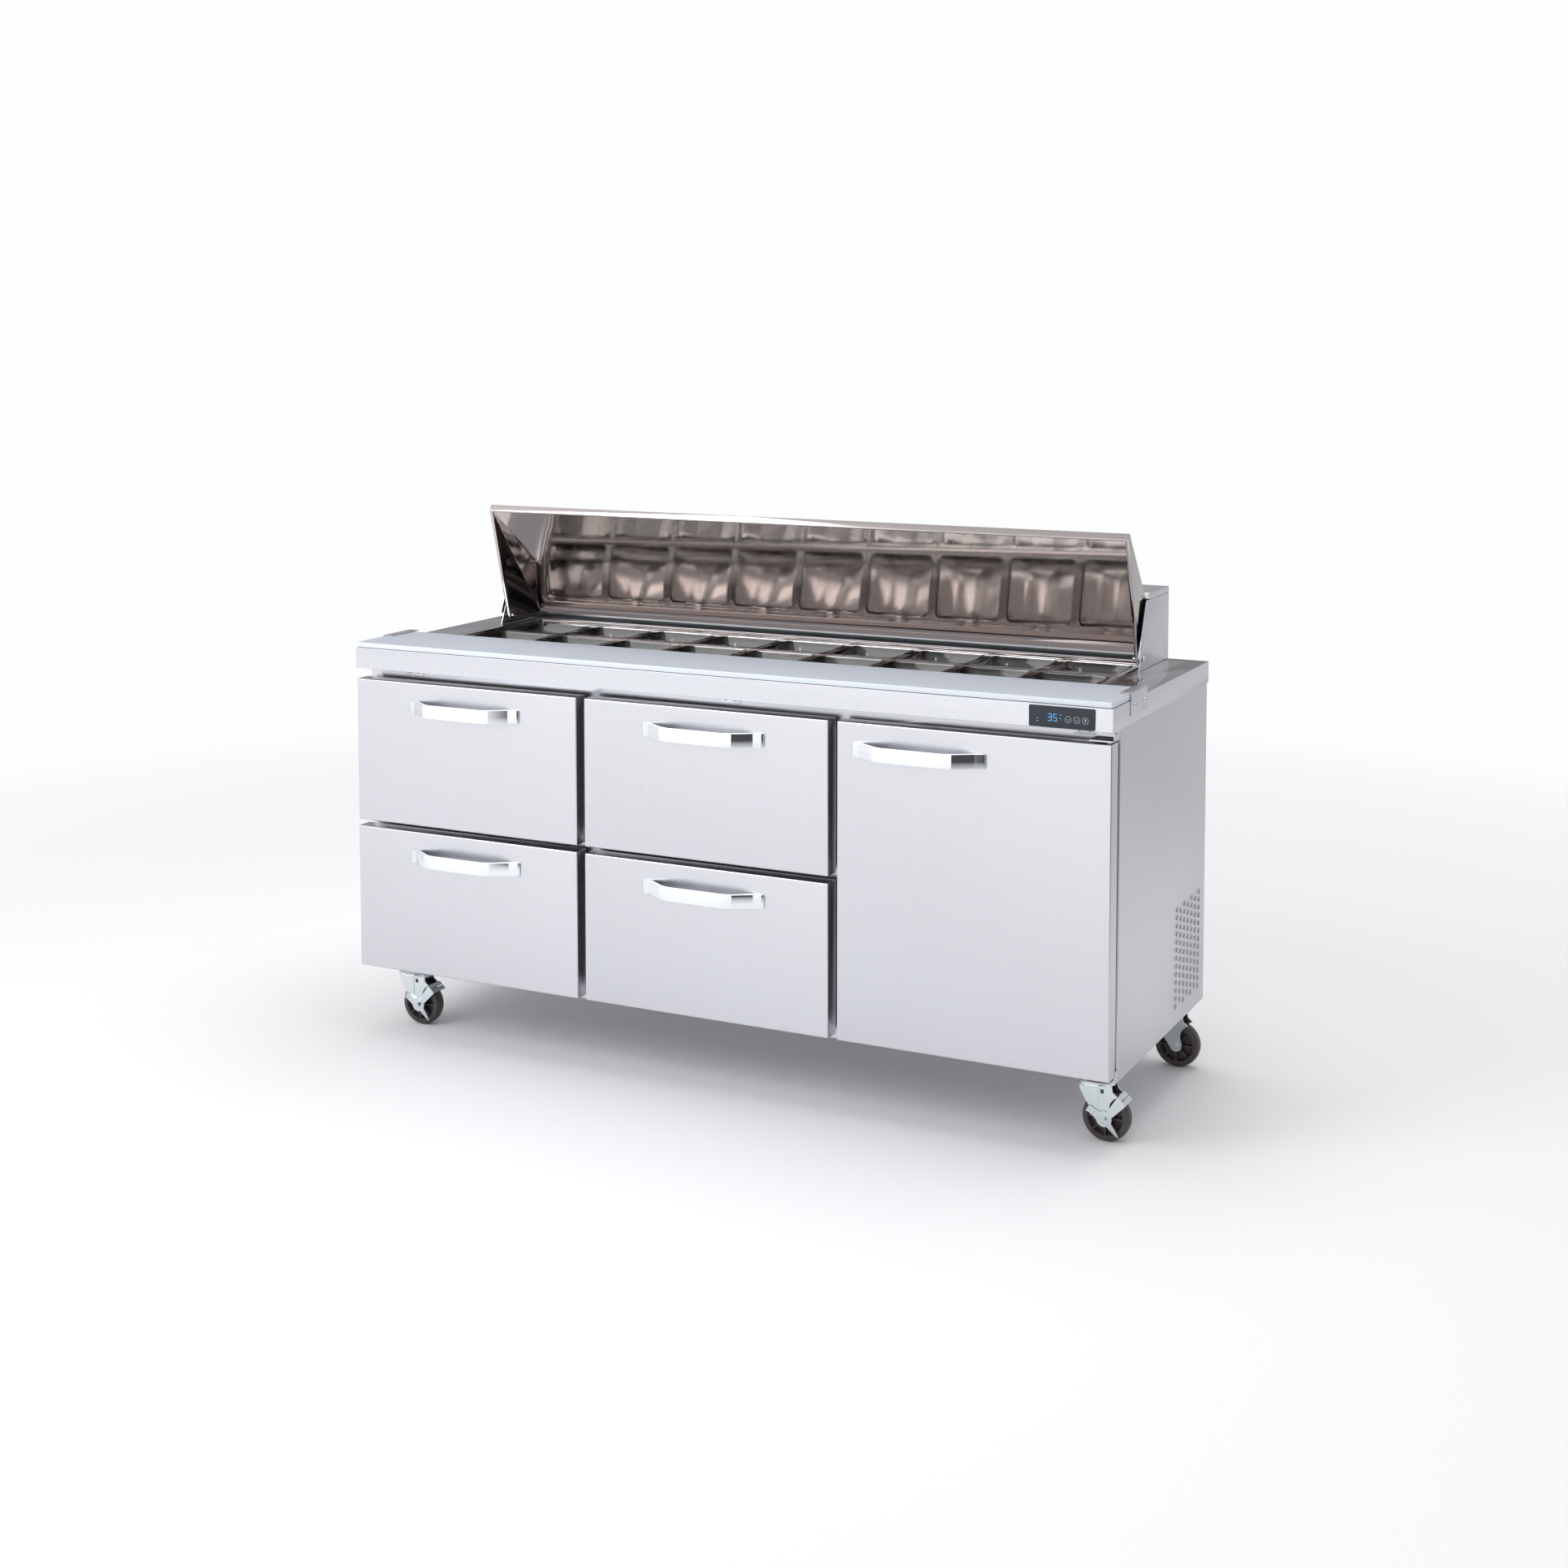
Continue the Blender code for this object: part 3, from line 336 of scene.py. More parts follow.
def zinc_plate(finish):
    """Bright zinc: a cool film whose tint drifts, over metal that was pressed and drawn."""
    made = Finish("zinc_plate")
    place = made.object_place()
    drift = made.noise(place, 26.0, 3.0)
    fine = made.noise(place, 420.0, 2.0)
    warm = (finish.zinc[0] * 1.12, finish.zinc[1] * 1.02, finish.zinc[2] * 0.92)
    base = made.tint(drift, shaded(finish.zinc, 0.9), warm)
    return made.surface(base_color=base, roughness=0.10 + drift * 0.08 + fine * 0.05, metallic=1.0,
                        normal=made.bump(fine, 0.00006, 0.5))


def board_plastic(finish):
    """Cutting board: a fine cast texture, the first light knife marks, and a top set darker than its white
    edges as painted shade.
    """
    made = Finish("board_plastic")
    place = made.object_place()
    facing = made.add("ShaderNodeTexCoord", output="Normal")
    on_edge = abs(made.add("ShaderNodeSeparateXYZ", None, {0: facing}, output="Z")) < 0.75
    pebble = made.noise(place, 900.0, 2.0)
    cuts = made.noise(made.stretched(place, (260.0, 7.0, 40.0)), 1.0, 2.0, 0.7)
    cut_mask = cuts > 0.69
    # Painted shade: the top takes the darker board colour, while the edges keep the white board_side.
    top = made.tint(made.noise(place, 3.0, 3.0) * 0.7 + cut_mask * 0.2, finish.board,
                    shaded(finish.board, 1.07))
    edge = made.tint(pebble, shaded(finish.board_side, 0.97), finish.board_side)
    return made.surface(base_color=made.blend(on_edge, top, edge), roughness=0.40 + pebble * 0.12,
                        metallic=0.0, ior=1.5,
                        normal=made.bump(pebble - cut_mask * 0.6, 0.00008, 0.6))


def clear_plastic(finish):
    """Clear polycarbonate, slightly hazed by washing."""
    made = Finish("clear_plastic")
    haze = made.noise(made.object_place(), 55.0, 3.0)
    return made.surface(base_color=made.tint(haze, shaded(finish.clear, 0.97), finish.clear),
                        roughness=0.03 + haze * 0.05, metallic=0.0, transmission_weight=1.0, ior=1.45)


def wheel_plastic(finish):
    """Hard moulded wheel: dull mould texture, dusty on the tread."""
    made = Finish("wheel_plastic")
    place = made.object_place()
    grit = made.noise(place, 700.0, 3.0, 0.6)
    dust = made.noise(place, 34.0, 4.0, 0.6)
    base = made.tint(dust, finish.wheel, shaded(finish.wheel, 2.3))
    return made.surface(base_color=base, roughness=0.34 + grit * 0.22, metallic=0.0,
                        normal=made.bump(grit, 0.00012, 0.7))


def gasket_rubber(finish):
    made = Finish("gasket_rubber")
    place = made.object_place()
    bloom = made.noise(place, 90.0, 3.0)
    base = made.tint(bloom, finish.gasket, shaded(finish.gasket, 1.6))
    return made.surface(base_color=base, roughness=0.50 + bloom * 0.2, metallic=0.0,
                        normal=made.bump(made.noise(place, 600.0, 2.0), 0.00006, 0.6))


def display_glass(finish):
    made = Finish("display_glass")
    smudge = made.noise(made.object_place(), 70.0, 3.0)
    base = made.tint(smudge, finish.glass, shaded(finish.glass, 1.5))
    return made.surface(base_color=base, roughness=0.07 + smudge * 0.06, metallic=0.0, ior=1.5)


def glow(name, colour, strength):
    """Lit print behind the lens, uneven as light guides are."""
    made = Finish(name)
    fall = made.noise(made.object_place(), 160.0, 2.0)
    lit = made.tint(fall, shaded(colour, 0.8), colour)
    return made.surface(base_color=shaded(colour, 0.4), emission_color=lit, emission_strength=strength,
                        roughness=0.3)


def display_digits(finish):
    return glow("display_digits", finish.digits, 1.0)


def display_print(finish):
    return glow("display_print", (0.34, 0.37, 0.42), 0.8)


def galvanised(finish):
    """Zinc-dipped sheet with its crystal spangle."""
    made = Finish("galvanised")
    place = made.object_place()
    spangle = made.add("ShaderNodeTexVoronoi", None, {"Vector": place, "Scale": 110.0}, output="Color")
    grey = made.add("ShaderNodeSeparateColor", None, {0: spangle})
    base = made.tint(grey, (0.44, 0.46, 0.48), (0.62, 0.64, 0.66))
    return made.surface(base_color=base, roughness=0.34 + grey * 0.16, metallic=1.0)


def fin_aluminium(finish):
    made = Finish("fin_aluminium")
    streak = made.noise(made.stretched(made.object_place(), (30.0, 30.0, 300.0)), 1.0, 3.0)
    base = made.tint(streak, (0.62, 0.63, 0.65), (0.80, 0.81, 0.82))
    return made.surface(base_color=base, roughness=0.28 + streak * 0.14, metallic=1.0)


def copper(finish):
    made = Finish("copper")
    stain = made.noise(made.object_place(), 60.0, 4.0)
    base = made.tint(stain, (0.72, 0.32, 0.18), (0.50, 0.20, 0.12))
    return made.surface(base_color=base, roughness=0.22 + stain * 0.2, metallic=1.0)


def black_paint(finish):
    """Baked paint on the compressor, with a light orange-peel texture."""
    made = Finish("black_paint")
    place = made.object_place()
    peel = made.noise(place, 320.0, 2.0)
    base = made.tint(made.noise(place, 20.0, 3.0), (0.012, 0.012, 0.013), (0.030, 0.030, 0.032))
    return made.surface(base_color=base, roughness=0.26 + peel * 0.14, metallic=0.0, coat_weight=0.3,
                        normal=made.bump(peel, 0.0002, 0.4))


def fan_plastic(finish):
    made = Finish("fan_plastic")
    place = made.object_place()
    grit = made.noise(place, 500.0, 2.0)
    base = made.tint(made.noise(place, 25.0, 3.0), (0.035, 0.035, 0.038), (0.060, 0.060, 0.064))
    return made.surface(base_color=base, roughness=0.38 + grit * 0.16, metallic=0.0,
                        normal=made.bump(grit, 0.0001, 0.6))


FINISHES = {}


def material(make):
    """The one material of each finish, made when it is first wanted."""
    if make not in FINISHES:
        FINISHES[make] = make(bpy.context.scene.prep_table_finish)
    return FINISHES[make]


# ------------------------------------------------------------------ outlines and solids
def round_rectangle(x0, x1, y0, y1, radius, steps=5):
    """Points round a rectangle, anticlockwise, with each corner an arc."""
    centres = [(x0 + radius, y0 + radius, 180), (x1 - radius, y0 + radius, 270),
               (x1 - radius, y1 - radius, 0), (x0 + radius, y1 - radius, 90)]
    points = []
    for cx, cy, start in centres:
        for step in range(steps + 1):
            angle = math.radians(start + 90 * step / steps)
            points.append((cx + radius * math.cos(angle), cy + radius * math.sin(angle)))
    return points


def arc(cx, cy, radius, start, end, steps):
    """Points on an arc, angles in degrees."""
    angles = [math.radians(start + (end - start) * step / steps) for step in range(steps + 1)]
    return [(cx + radius * math.cos(angle), cy + radius * math.sin(angle)) for angle in angles]


def on_axis(axis, level, pair):
    """A point from its place along an axis and its other two coordinates, in order."""
    coords = list(pair)
    coords.insert(axis, level)
    return Vector(coords)


def bridge(bm, loops, closed):
    """Faces between one loop of vertices and the next, all of one length."""
    pairs = list(zip(loops, loops[1:]))
    if closed:
        pairs.append((loops[-1], loops[0]))
    faces = []
    for first, second in pairs:
        count = len(first)
        for index in range(count):
            after = (index + 1) % count
            faces.append(bm.faces.new((first[index], first[after], second[after], second[index])))
    return faces


def outward(bm, faces):
    bmesh.ops.recalc_face_normals(bm, faces=faces)


def add_stack(bm, axis, rings, steps=5, hollow=False):
    """A skin through rounded rectangles (a0, a1, b0, b1, level, radius) that follow each other
    along an axis. It is capped at both ends, or, when hollow, its last ring meets its first."""
    loops = []
    for a0, a1, b0, b1, level, radius in rings:
        outline = round_rectangle(a0, a1, b0, b1, radius, steps)
        loops.append([bm.verts.new(on_axis(axis, level, pair)) for pair in outline])
    faces = bridge(bm, loops, hollow)
    if not hollow:
        faces += [bm.faces.new(loops[0]), bm.faces.new(loops[-1])]
    outward(bm, faces)


def add_slab(bm, axis, low, high, corner, edge, steps=4):
    """A plate whose corners are round and whose long edges are softened on both faces."""
    (a0, b0), (a1, b1) = [[value for index, value in enumerate(end) if index != axis] for end in (low, high)]
    rings = []
    turns = [math.pi / 2 * step / 3 for step in range(4)]
    for turn in turns:
        inset = edge * (1 - math.sin(turn))
        rings.append((inset, low[axis] + edge * (1 - math.cos(turn))))
    for turn in reversed(turns):
        inset = edge * (1 - math.sin(turn))
        rings.append((inset, high[axis] - edge * (1 - math.cos(turn))))
    add_stack(bm, axis, [(a0 + inset, a1 - inset, b0 + inset, b1 - inset, level, max(corner - inset, 0.0002))
                         for inset, level in rings], steps)


def add_prism(bm, outline, axis, start, end):
    """A flat outline swept along one axis."""
    near = [bm.verts.new(on_axis(axis, start, pair)) for pair in outline]
    far = [bm.verts.new(on_axis(axis, end, pair)) for pair in outline]
    faces = bridge(bm, [near, far], False) + [bm.faces.new(near), bm.faces.new(far)]
    outward(bm, faces)


def add_turned(bm, profile, centre, axis, steps=32):
    """A closed (radius, along) profile turned about an axis through centre. It may touch the axis."""
    turn = Vector((0, 0, 1)).rotation_difference(Vector(axis)).to_matrix()
    rings = []
    for radius, along in profile:
        count = 1 if radius < 1e-6 else steps
        angles = [2 * math.pi * step / steps for step in range(count)]
        rings.append([bm.verts.new(Vector(centre) + turn @ Vector((radius * math.cos(a), radius * math.sin(a),
                                                                   along))) for a in angles])
    pairs = list(zip(rings, rings[1:]))
    if len(rings[0]) > 1:
        pairs.append((rings[-1], rings[0]))
    faces = []
    for first, second in pairs:
        for step in range(steps):
            after = (step + 1) % steps
            corners = [first[step % len(first)], first[after % len(first)],
                       second[after % len(second)], second[step % len(second)]]
            unique = list(dict.fromkeys(corners))
            if len(unique) > 2:
                faces.append(bm.faces.new(unique))
    outward(bm, faces)


def add_tube(bm, points, radius, sides=10):
    """A round rod that follows points, with flat ends."""
    points = [Vector(point) for point in points]
    loops = []
    side = (points[1] - points[0]).orthogonal().normalized()
    for index, point in enumerate(points):
        before = points[max(index - 1, 0)]
        after = points[min(index + 1, len(points) - 1)]
        along = (after - before).normalized()
        side = (side - side.dot(along) * along).normalized()
        up = along.cross(side)
        angles = [2 * math.pi * step / sides for step in range(sides)]
        loops.append([bm.verts.new(point + radius * (side * math.cos(a) + up * math.sin(a))) for a in angles])
    outward(bm, bridge(bm, loops, False) + [bm.faces.new(loops[0]), bm.faces.new(loops[-1])])


def cut_corners(points, reach):
    """An outline whose inner corners are each replaced by a short three-point curve."""
    rounded = [Vector(points[0])]
    for before, corner, after in zip(points, points[1:], points[2:]):
        before, corner, after = Vector(before), Vector(corner), Vector(after)
        first = corner + (before - corner).normalized() * reach
        last = corner + (after - corner).normalized() * reach
        rounded += [first, (first + last + 2 * corner) / 4, last]
    return rounded + [Vector(points[-1])]


# ------------------------------------------------------------------ pieces
SHARP_CORNER = 1.0                      # radians between two faces, where a pressing is rounded


def round_corners(bm, width):
    """Take the sharp edge off a pressed plate."""
    corners = [edge for edge in bm.edges if edge.calc_face_angle(0) > SHARP_CORNER]
    bmesh.ops.bevel(bm, geom=corners, offset=width, segments=2, affect="EDGES")


def mesh_of(bm, name):
    mesh = bpy.data.meshes.new(name)
    bm.to_mesh(mesh)
    bm.free()
    return mesh


def finish_piece(name, shape, make, body, replaces=(), sharp=35.0):
    """Turn a shape into a finished piece that rides on a body and stands for CAD nodes."""
    mesh = mesh_of(shape, name) if isinstance(shape, bmesh.types.BMesh) else shape
    mesh.name = name
    mesh.materials.clear()
    mesh.materials.append(material(make))
    mesh.shade_smooth()
    mesh.set_sharp_from_angle(angle=math.radians(sharp))
    piece = bpy.data.objects.new(name, mesh)
    bpy.context.scene.collection.objects.link(piece)
    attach(piece, body)
    if replaces:
        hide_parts(*replaces)
    return piece


WELD = 0.00002                          # vertices nearer than this are one
FLAT = math.radians(0.5)                # faces that meet at less than this are one
CREASE = math.radians(28)               # edges that turn more than this are rounded


def soften(node, make, width, name=None):
    """A copy of a CAD node with clean faces and rounded edges, which stands for the node."""
    source = frame["nodes"][node]
    bm = bmesh.new()
    bm.from_mesh(source.data)
    bmesh.ops.remove_doubles(bm, verts=bm.verts, dist=WELD)
    bmesh.ops.dissolve_limit(bm, angle_limit=FLAT, verts=bm.verts, edges=bm.edges)
    piece = finish_piece(name or node + "_skin", bm, make, source["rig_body"], (node,), sharp=180.0)
    bevel = piece.modifiers.new("edges", "BEVEL")
    bevel.width = width
    bevel.segments = 3
    bevel.limit_method = "ANGLE"
    bevel.angle_limit = CREASE
    bevel.harden_normals = True
    bevel.miter_outer = "MITER_ARC"
    return piece


# ------------------------------------------------------------------ what repeats
class Growth(Nodes):
    """A Geometry Nodes tree with named inputs, which ends in Realize Instances and Set Material."""

    def __init__(self, name, inputs):
        group = bpy.data.node_groups.new(name, "GeometryNodeTree")
        super().__init__(group)
        self.labels = {}
        group.interface.new_socket("Geometry", in_out="OUTPUT", socket_type="NodeSocketGeometry")
        group.interface.new_socket("Geometry", in_out="INPUT", socket_type="NodeSocketGeometry")
        for label, kind in list(inputs.items()) + [("Material", "NodeSocketMaterial")]:
            socket = group.interface.new_socket(label, in_out="INPUT", socket_type=kind)
            self.labels[label] = socket.identifier
        self.entry = group.nodes.new("NodeGroupInput")

    def given(self, label):
        return Wire(self, self.entry.outputs[label])

    def end(self, instances):
        real = self.add("GeometryNodeRealizeInstances", None, {0: instances})
        painted = self.add("GeometryNodeSetMaterial", None,
                           {"Geometry": real, "Material": self.given("Material")})
        leave = self.tree.nodes.new("NodeGroupOutput")
        self.feed(leave.inputs[0], painted)
        return self

    def grow(self, source, make, **values):
        """The plain mesh that the tree grows from a source mesh."""
        holder = bpy.data.objects.new("holder", source)
        bpy.context.scene.collection.objects.link(holder)
        modifier = holder.modifiers.new("growth", "NODES")
        modifier.node_group = self.tree
        modifier[self.labels["Material"]] = material(make)
        for label, value in values.items():
            modifier[self.labels[label.replace("_", " ").capitalize()]] = value
        holder.update_tag()
        bpy.context.view_layer.update()
        graph = bpy.context.evaluated_depsgraph_get()
        mesh = bpy.data.meshes.new_from_object(holder.evaluated_get(graph), depsgraph=graph)
        holder.modifiers.clear()
        bpy.data.objects.remove(holder)
        return mesh


def scatter_growth():
    """A part stands on each point of a mesh, turned to the point's facing."""
    tree = Growth("parts_on_points", {"Part": "NodeSocketObject", "Size": "NodeSocketFloat"})
    part = tree.add("GeometryNodeObjectInfo", None, {"Object": tree.given("Part")}, output="Geometry")
    facing = tree.add("GeometryNodeInputNamedAttribute", {"data_type": "FLOAT_VECTOR"}, {"Name": "facing"})
    turned = tree.add("FunctionNodeAlignRotationToVector", {"axis": "Z"}, {"Vector": facing})
    placed = tree.add("GeometryNodeInstanceOnPoints", None,
                      {"Points": tree.given("Geometry"), "Instance": part, "Rotation": turned,
                       "Scale": tree.given("Size")})
    return tree.end(placed)


def row_growth():
    """A bar repeats along a line: wires, fins, slats and ribs."""
    tree = Growth("bars_in_a_row", {"Count": "NodeSocketInt", "Start": "NodeSocketVector",
                                    "Step": "NodeSocketVector", "Bar": "NodeSocketVector",
                                    "Lean": "NodeSocketVector"})
    line = tree.add("GeometryNodeMeshLine", {"mode": "OFFSET"},
                    {"Count": tree.given("Count"), "Start Location": tree.given("Start"),
                     "Offset": tree.given("Step")})
    bar = tree.add("GeometryNodeMeshCube", None, {"Size": tree.given("Bar")})
    placed = tree.add("GeometryNodeInstanceOnPoints", None,
                      {"Points": line, "Instance": bar, "Rotation": tree.given("Lean")})
    return tree.end(placed)


GROWTHS = {}


def growth(make):
    if make not in GROWTHS:
        GROWTHS[make] = make()
    return GROWTHS[make]


def scatter(part, places, make, size=1.0):
    """One mesh of a part repeated at (place, facing) pairs. The part is made round +Z."""
    points = bpy.data.meshes.new("points")
    points.from_pydata([tuple(place) for place, _ in places], [], [])
    attribute = points.attributes.new("facing", "FLOAT_VECTOR", "POINT")
    for index, (_, facing) in enumerate(places):
        attribute.data[index].vector = facing
    holder = bpy.data.objects.new("part", part)
    mesh = growth(scatter_growth).grow(points, make, part=holder, size=size)
    bpy.data.objects.remove(holder)
    return mesh


def row(count, start, step, bar, make, lean=(0.0, 0.0, 0.0)):
    """One mesh of equal bars in a row."""
    empty = bpy.data.meshes.new("row")
    return growth(row_growth).grow(empty, make, count=count, start=start, step=step, bar=bar, lean=lean)


def pan_head():
    """A screw's pan head with a cross recess, of radius 1, its underside at z = 0."""
    rings = [(1.0, 0.0), (1.0, 0.28), (0.9, 0.46), (0.66, 0.60), (0.44, 0.66), (0.2, 0.68)]
    steps = 24
    bm = bmesh.new()
    loops = []
    for radius, height in rings:
        loop = []
        for step in range(steps):
            angle = 2 * math.pi * step / steps
            x, y = radius * math.cos(angle), radius * math.sin(angle)
            sunk = 0.34 if radius < 0.6 and min(abs(x), abs(y)) < 0.13 else 0.0
            loop.append(bm.verts.new((x, y, height - sunk)))
        loops.append(loop)
    middle = bm.verts.new((0, 0, 0.3))
    faces = bridge(bm, loops, False) + [bm.faces.new(loops[0])]
    last = loops[-1]
    faces += [bm.faces.new((last[i], last[(i + 1) % steps], middle)) for i in range(steps)]
    outward(bm, faces)
    return mesh_of(bm, "pan_head")


def hex_head():
    """A hexagon bolt head on its washer, of radius 1 across the washer."""
    bm = bmesh.new()
    add_turned(bm, [(0, 0), (1.0, 0), (1.0, 0.14), (0, 0.14)], (0, 0, 0), (0, 0, 1), 24)
    add_turned(bm, [(0, 0.14), (0.74, 0.14), (0.74, 0.62), (0.64, 0.72), (0, 0.72)], (0, 0, 0), (0, 0, 1), 6)
    return mesh_of(bm, "hex_head")


def dimple():
    """A pressed vent: a hood that rises from the sheet and is cut off straight on its open side."""
    bm = bmesh.new()
    half_width, half_height, rise = 0.0062, 0.0058, 0.0026
    loops = []
    for share, lift in ((1.0, 0.0), (0.86, 0.55), (0.6, 0.88), (0.25, 1.0)):
        loop = []
        for step in range(9):
            angle = math.pi * (step / 8 - 0.5)
            loop.append(bm.verts.new((half_width - half_width * 2 * share * math.cos(angle),
                                      half_height * share * math.sin(angle), rise * lift)))
        loops.append(loop)
    faces = bridge(bm, loops, False) + [bm.faces.new(loops[0]), bm.faces.new(loops[-1])]
    outward(bm, faces)
    return mesh_of(bm, "dimple")


# ------------------------------------------------------------------ body, worktop and hood
class MakeCabinet(bpy.types.Operator):
    """The cabinet's folded panels, with the fixing plates above the fronts and the side vents"""
    bl_idname = "prep_table.cabinet"
    bl_label = "Cabinet"

    def execute(self, context):
        sizes = context.scene.prep_table_sizes
        soften("cabinet_body", brushed_steel, sizes.sheet_edge)
        self.add_fixing_plates()
        self.add_vents(sizes)
        return {"FINISHED"}

    def add_fixing_plates(self):
        """Plates with two screws each, on the frame above the fronts."""
        face = depth(0.055) - TOUCH
        bm = bmesh.new()
        screws = []
        for x in (-0.795, 0.040, 0.845):
            add_slab(bm, 1, (x - 0.026, face - 0.0012, 0.855), (x + 0.026, face, 0.8715), 0.006, 0.0004)
            screws += [((x + offset, face - 0.0012, 0.8645), (0, -1, 0)) for offset in (-0.011, 0.011)]
        finish_piece("fixing_plates", bm, brushed_steel, "table")
        heads = scatter(pan_head(), screws, zinc_plate, size=SMALL_SCREW)
        finish_piece("fixing_plate_screws", heads, zinc_plate, "table")

    def add_vents(self, sizes):
        """Staggered columns of pressed vents low on the side of the machine compartment."""
        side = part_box("cabinet_body")[1].x
        places = []
        for column in range(7):
            y = depth(0.4690 + 0.0285 * column)
            shift = sizes.vent_pitch / 2 if column % 2 else 0.0
            rows = 13 if column % 2 == 0 else 12
            for index in range(rows):
                places.append(((side, y, 0.190 + shift + sizes.vent_pitch * index), (1, 0, 0)))
        finish_piece("side_vents", scatter(dimple(), places, brushed_steel), brushed_steel, "table")


class MakeWorktop(bpy.types.Operator):
    """The worktop, the well under it with its bar, and the two board brackets"""
    bl_idname = "prep_table.worktop"
    bl_label = "Worktop and well"

    def execute(self, context):
        sizes = context.scene.prep_table_sizes
        soften("worktop", worktop_steel, sizes.sheet_edge)
        soften("well_liner", polished_steel, 0.0008)
        soften("well_divider_bar", polished_steel, sizes.sheet_edge)
        for side in ("left", "right"):
            soften("board_bracket_" + side, brushed_steel, 0.0004)
        self.add_bracket_screws()
        return {"FINISHED"}

    def add_bracket_screws(self):
        places = []
        for side, sign in (("left", -1), ("right", 1)):
            low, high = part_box("board_bracket_" + side)
            face = high.x if sign > 0 else low.x
            for y in (0.130, 0.2005):
                places.append(((face, depth(y), 0.908), (sign, 0, 0)))
        heads = scatter(pan_head(), places, zinc_plate, size=0.0050)
        finish_piece("bracket_screws", heads, zinc_plate, "table")


class MakeHood(bpy.types.Operator):
    """The fixed housing behind the well and its cap, with the screws at the back"""
    bl_idname = "prep_table.hood"
    bl_label = "Hood"

    def execute(self, context):
        sizes = context.scene.prep_table_sizes
        soften("hood_body", brushed_steel, 0.0008)
        soften("hood_cap", brushed_steel, sizes.sheet_edge)
        low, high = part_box("hood_body")
        places = [((x, high.y, z), (0, 1, 0)) for x in (-0.78, -0.39, 0.0, 0.39, 0.78)
                  for z in (0.935, 1.060)]
        heads = scatter(pan_head(), places, zinc_plate, size=sizes.screw_head)
        finish_piece("hood_screws", heads, zinc_plate, "table")
        self.add_flanges(low, high)
        return {"FINISHED"}

    def add_flanges(self, low, high):
        """Narrow flanges ahead of the slanted side edges, which cover the gap behind the lid's cheeks."""
        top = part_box("hood_cap")[0].z - 0.001
        outline = [(depth(0.4640), low.z + 0.0300), (depth(0.5170), top), (depth(0.5315), top),
                   (depth(0.4760), low.z + 0.0300)]
        bm = bmesh.new()
        for sign in (-1, 1):
            near, far = sorted((sign * (high.x - 0.0018), sign * (high.x - 0.0004)))
            add_prism(bm, outline, 0, near, far)
        finish_piece("hood_side_flanges", bm, brushed_steel, "table")


class MakeLid(bpy.types.Operator):
    """The raised lid with its corner caps, and the pins it turns on"""
    bl_idname = "prep_table.lid"
    bl_label = "Lid"

    def execute(self, context):
        soften("lid", polished_steel, 0.0008)
        for side in ("left", "right"):
            soften("lid_pivot_" + side, zinc_plate, 0.0006)
        return {"FINISHED"}


class MakeBoard(bpy.types.Operator):
    """The full-width cutting board"""
    bl_idname = "prep_table.board"
    bl_label = "Cutting board"

    def execute(self, context):
        edge = context.scene.prep_table_sizes.board_edge
        low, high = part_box("cutting_board")
        bm = bmesh.new()
        add_slab(bm, 2, low, high, 0.006, edge, steps=6)
        finish_piece("cutting_board_slab", bm, board_plastic, "cutting_board", ("cutting_board",))
        return {"FINISHED"}


class MakePans(bpy.types.Operator):
    """Eighteen clear food pans, nine in each row"""
    bl_idname = "prep_table.pans"
    bl_label = "Food pans"

    def execute(self, context):
        wall = context.scene.prep_table_sizes.pan_wall
        for row_name in ("front", "rear"):
            node = "pans_" + row_name
            low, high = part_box(node)
            pitch = (high.x - low.x) / PANS_IN_ROW
            for index in range(PANS_IN_ROW):
                bm = bmesh.new()
                corner = Vector((low.x + pitch * index + TOUCH / 2, low.y, low.z))
                size = Vector((pitch - TOUCH, high.y - low.y, high.z - low.z))
                self.add_pan(bm, corner, corner + size, wall)
                finish_piece(f"pan_{row_name}_{index + 1}", bm, clear_plastic, "table", (node,))
        return {"FINISHED"}

    def add_pan(self, bm, low, high, wall):
        """A sixth-size pan: a rim with a turned-down edge, a stacking shoulder and sloping walls."""
        rim, top, foot = 0.0085, high.z, low.z
        shoulder = top - 0.016
        rings = [(rim + wall + 0.014, foot + wall, 0.014), (rim + wall + 0.0085, foot + wall + 0.0018, 0.017),
                 (rim + wall + 0.0070, foot + wall + 0.0070, 0.018),
                 (rim + wall + 0.0034, shoulder - 0.004, 0.016),
                 (rim + wall + 0.0012, shoulder, 0.015), (rim + wall, top - 0.002, 0.014),
                 (rim + wall - 0.0012, top, 0.014), (0.0012, top, 0.005), (0.0, top - 0.0012, 0.005),
                 (0.0, top - 0.0042, 0.005), (0.0015, top - 0.0042, 0.005), (0.0022, top - wall, 0.005),
                 (rim, top - wall, 0.012), (rim + 0.0012, shoulder, 0.013),
                 (rim + 0.0034, shoulder - 0.006, 0.014),
                 (rim + 0.0070, foot + 0.006, 0.018), (rim + 0.0085, foot + 0.0012, 0.017),
                 (rim + 0.014, foot, 0.014)]
        add_stack(bm, 2, [(low.x + inset, high.x - inset, low.y + inset, high.y - inset, level, radius)
                          for inset, level, radius in rings])


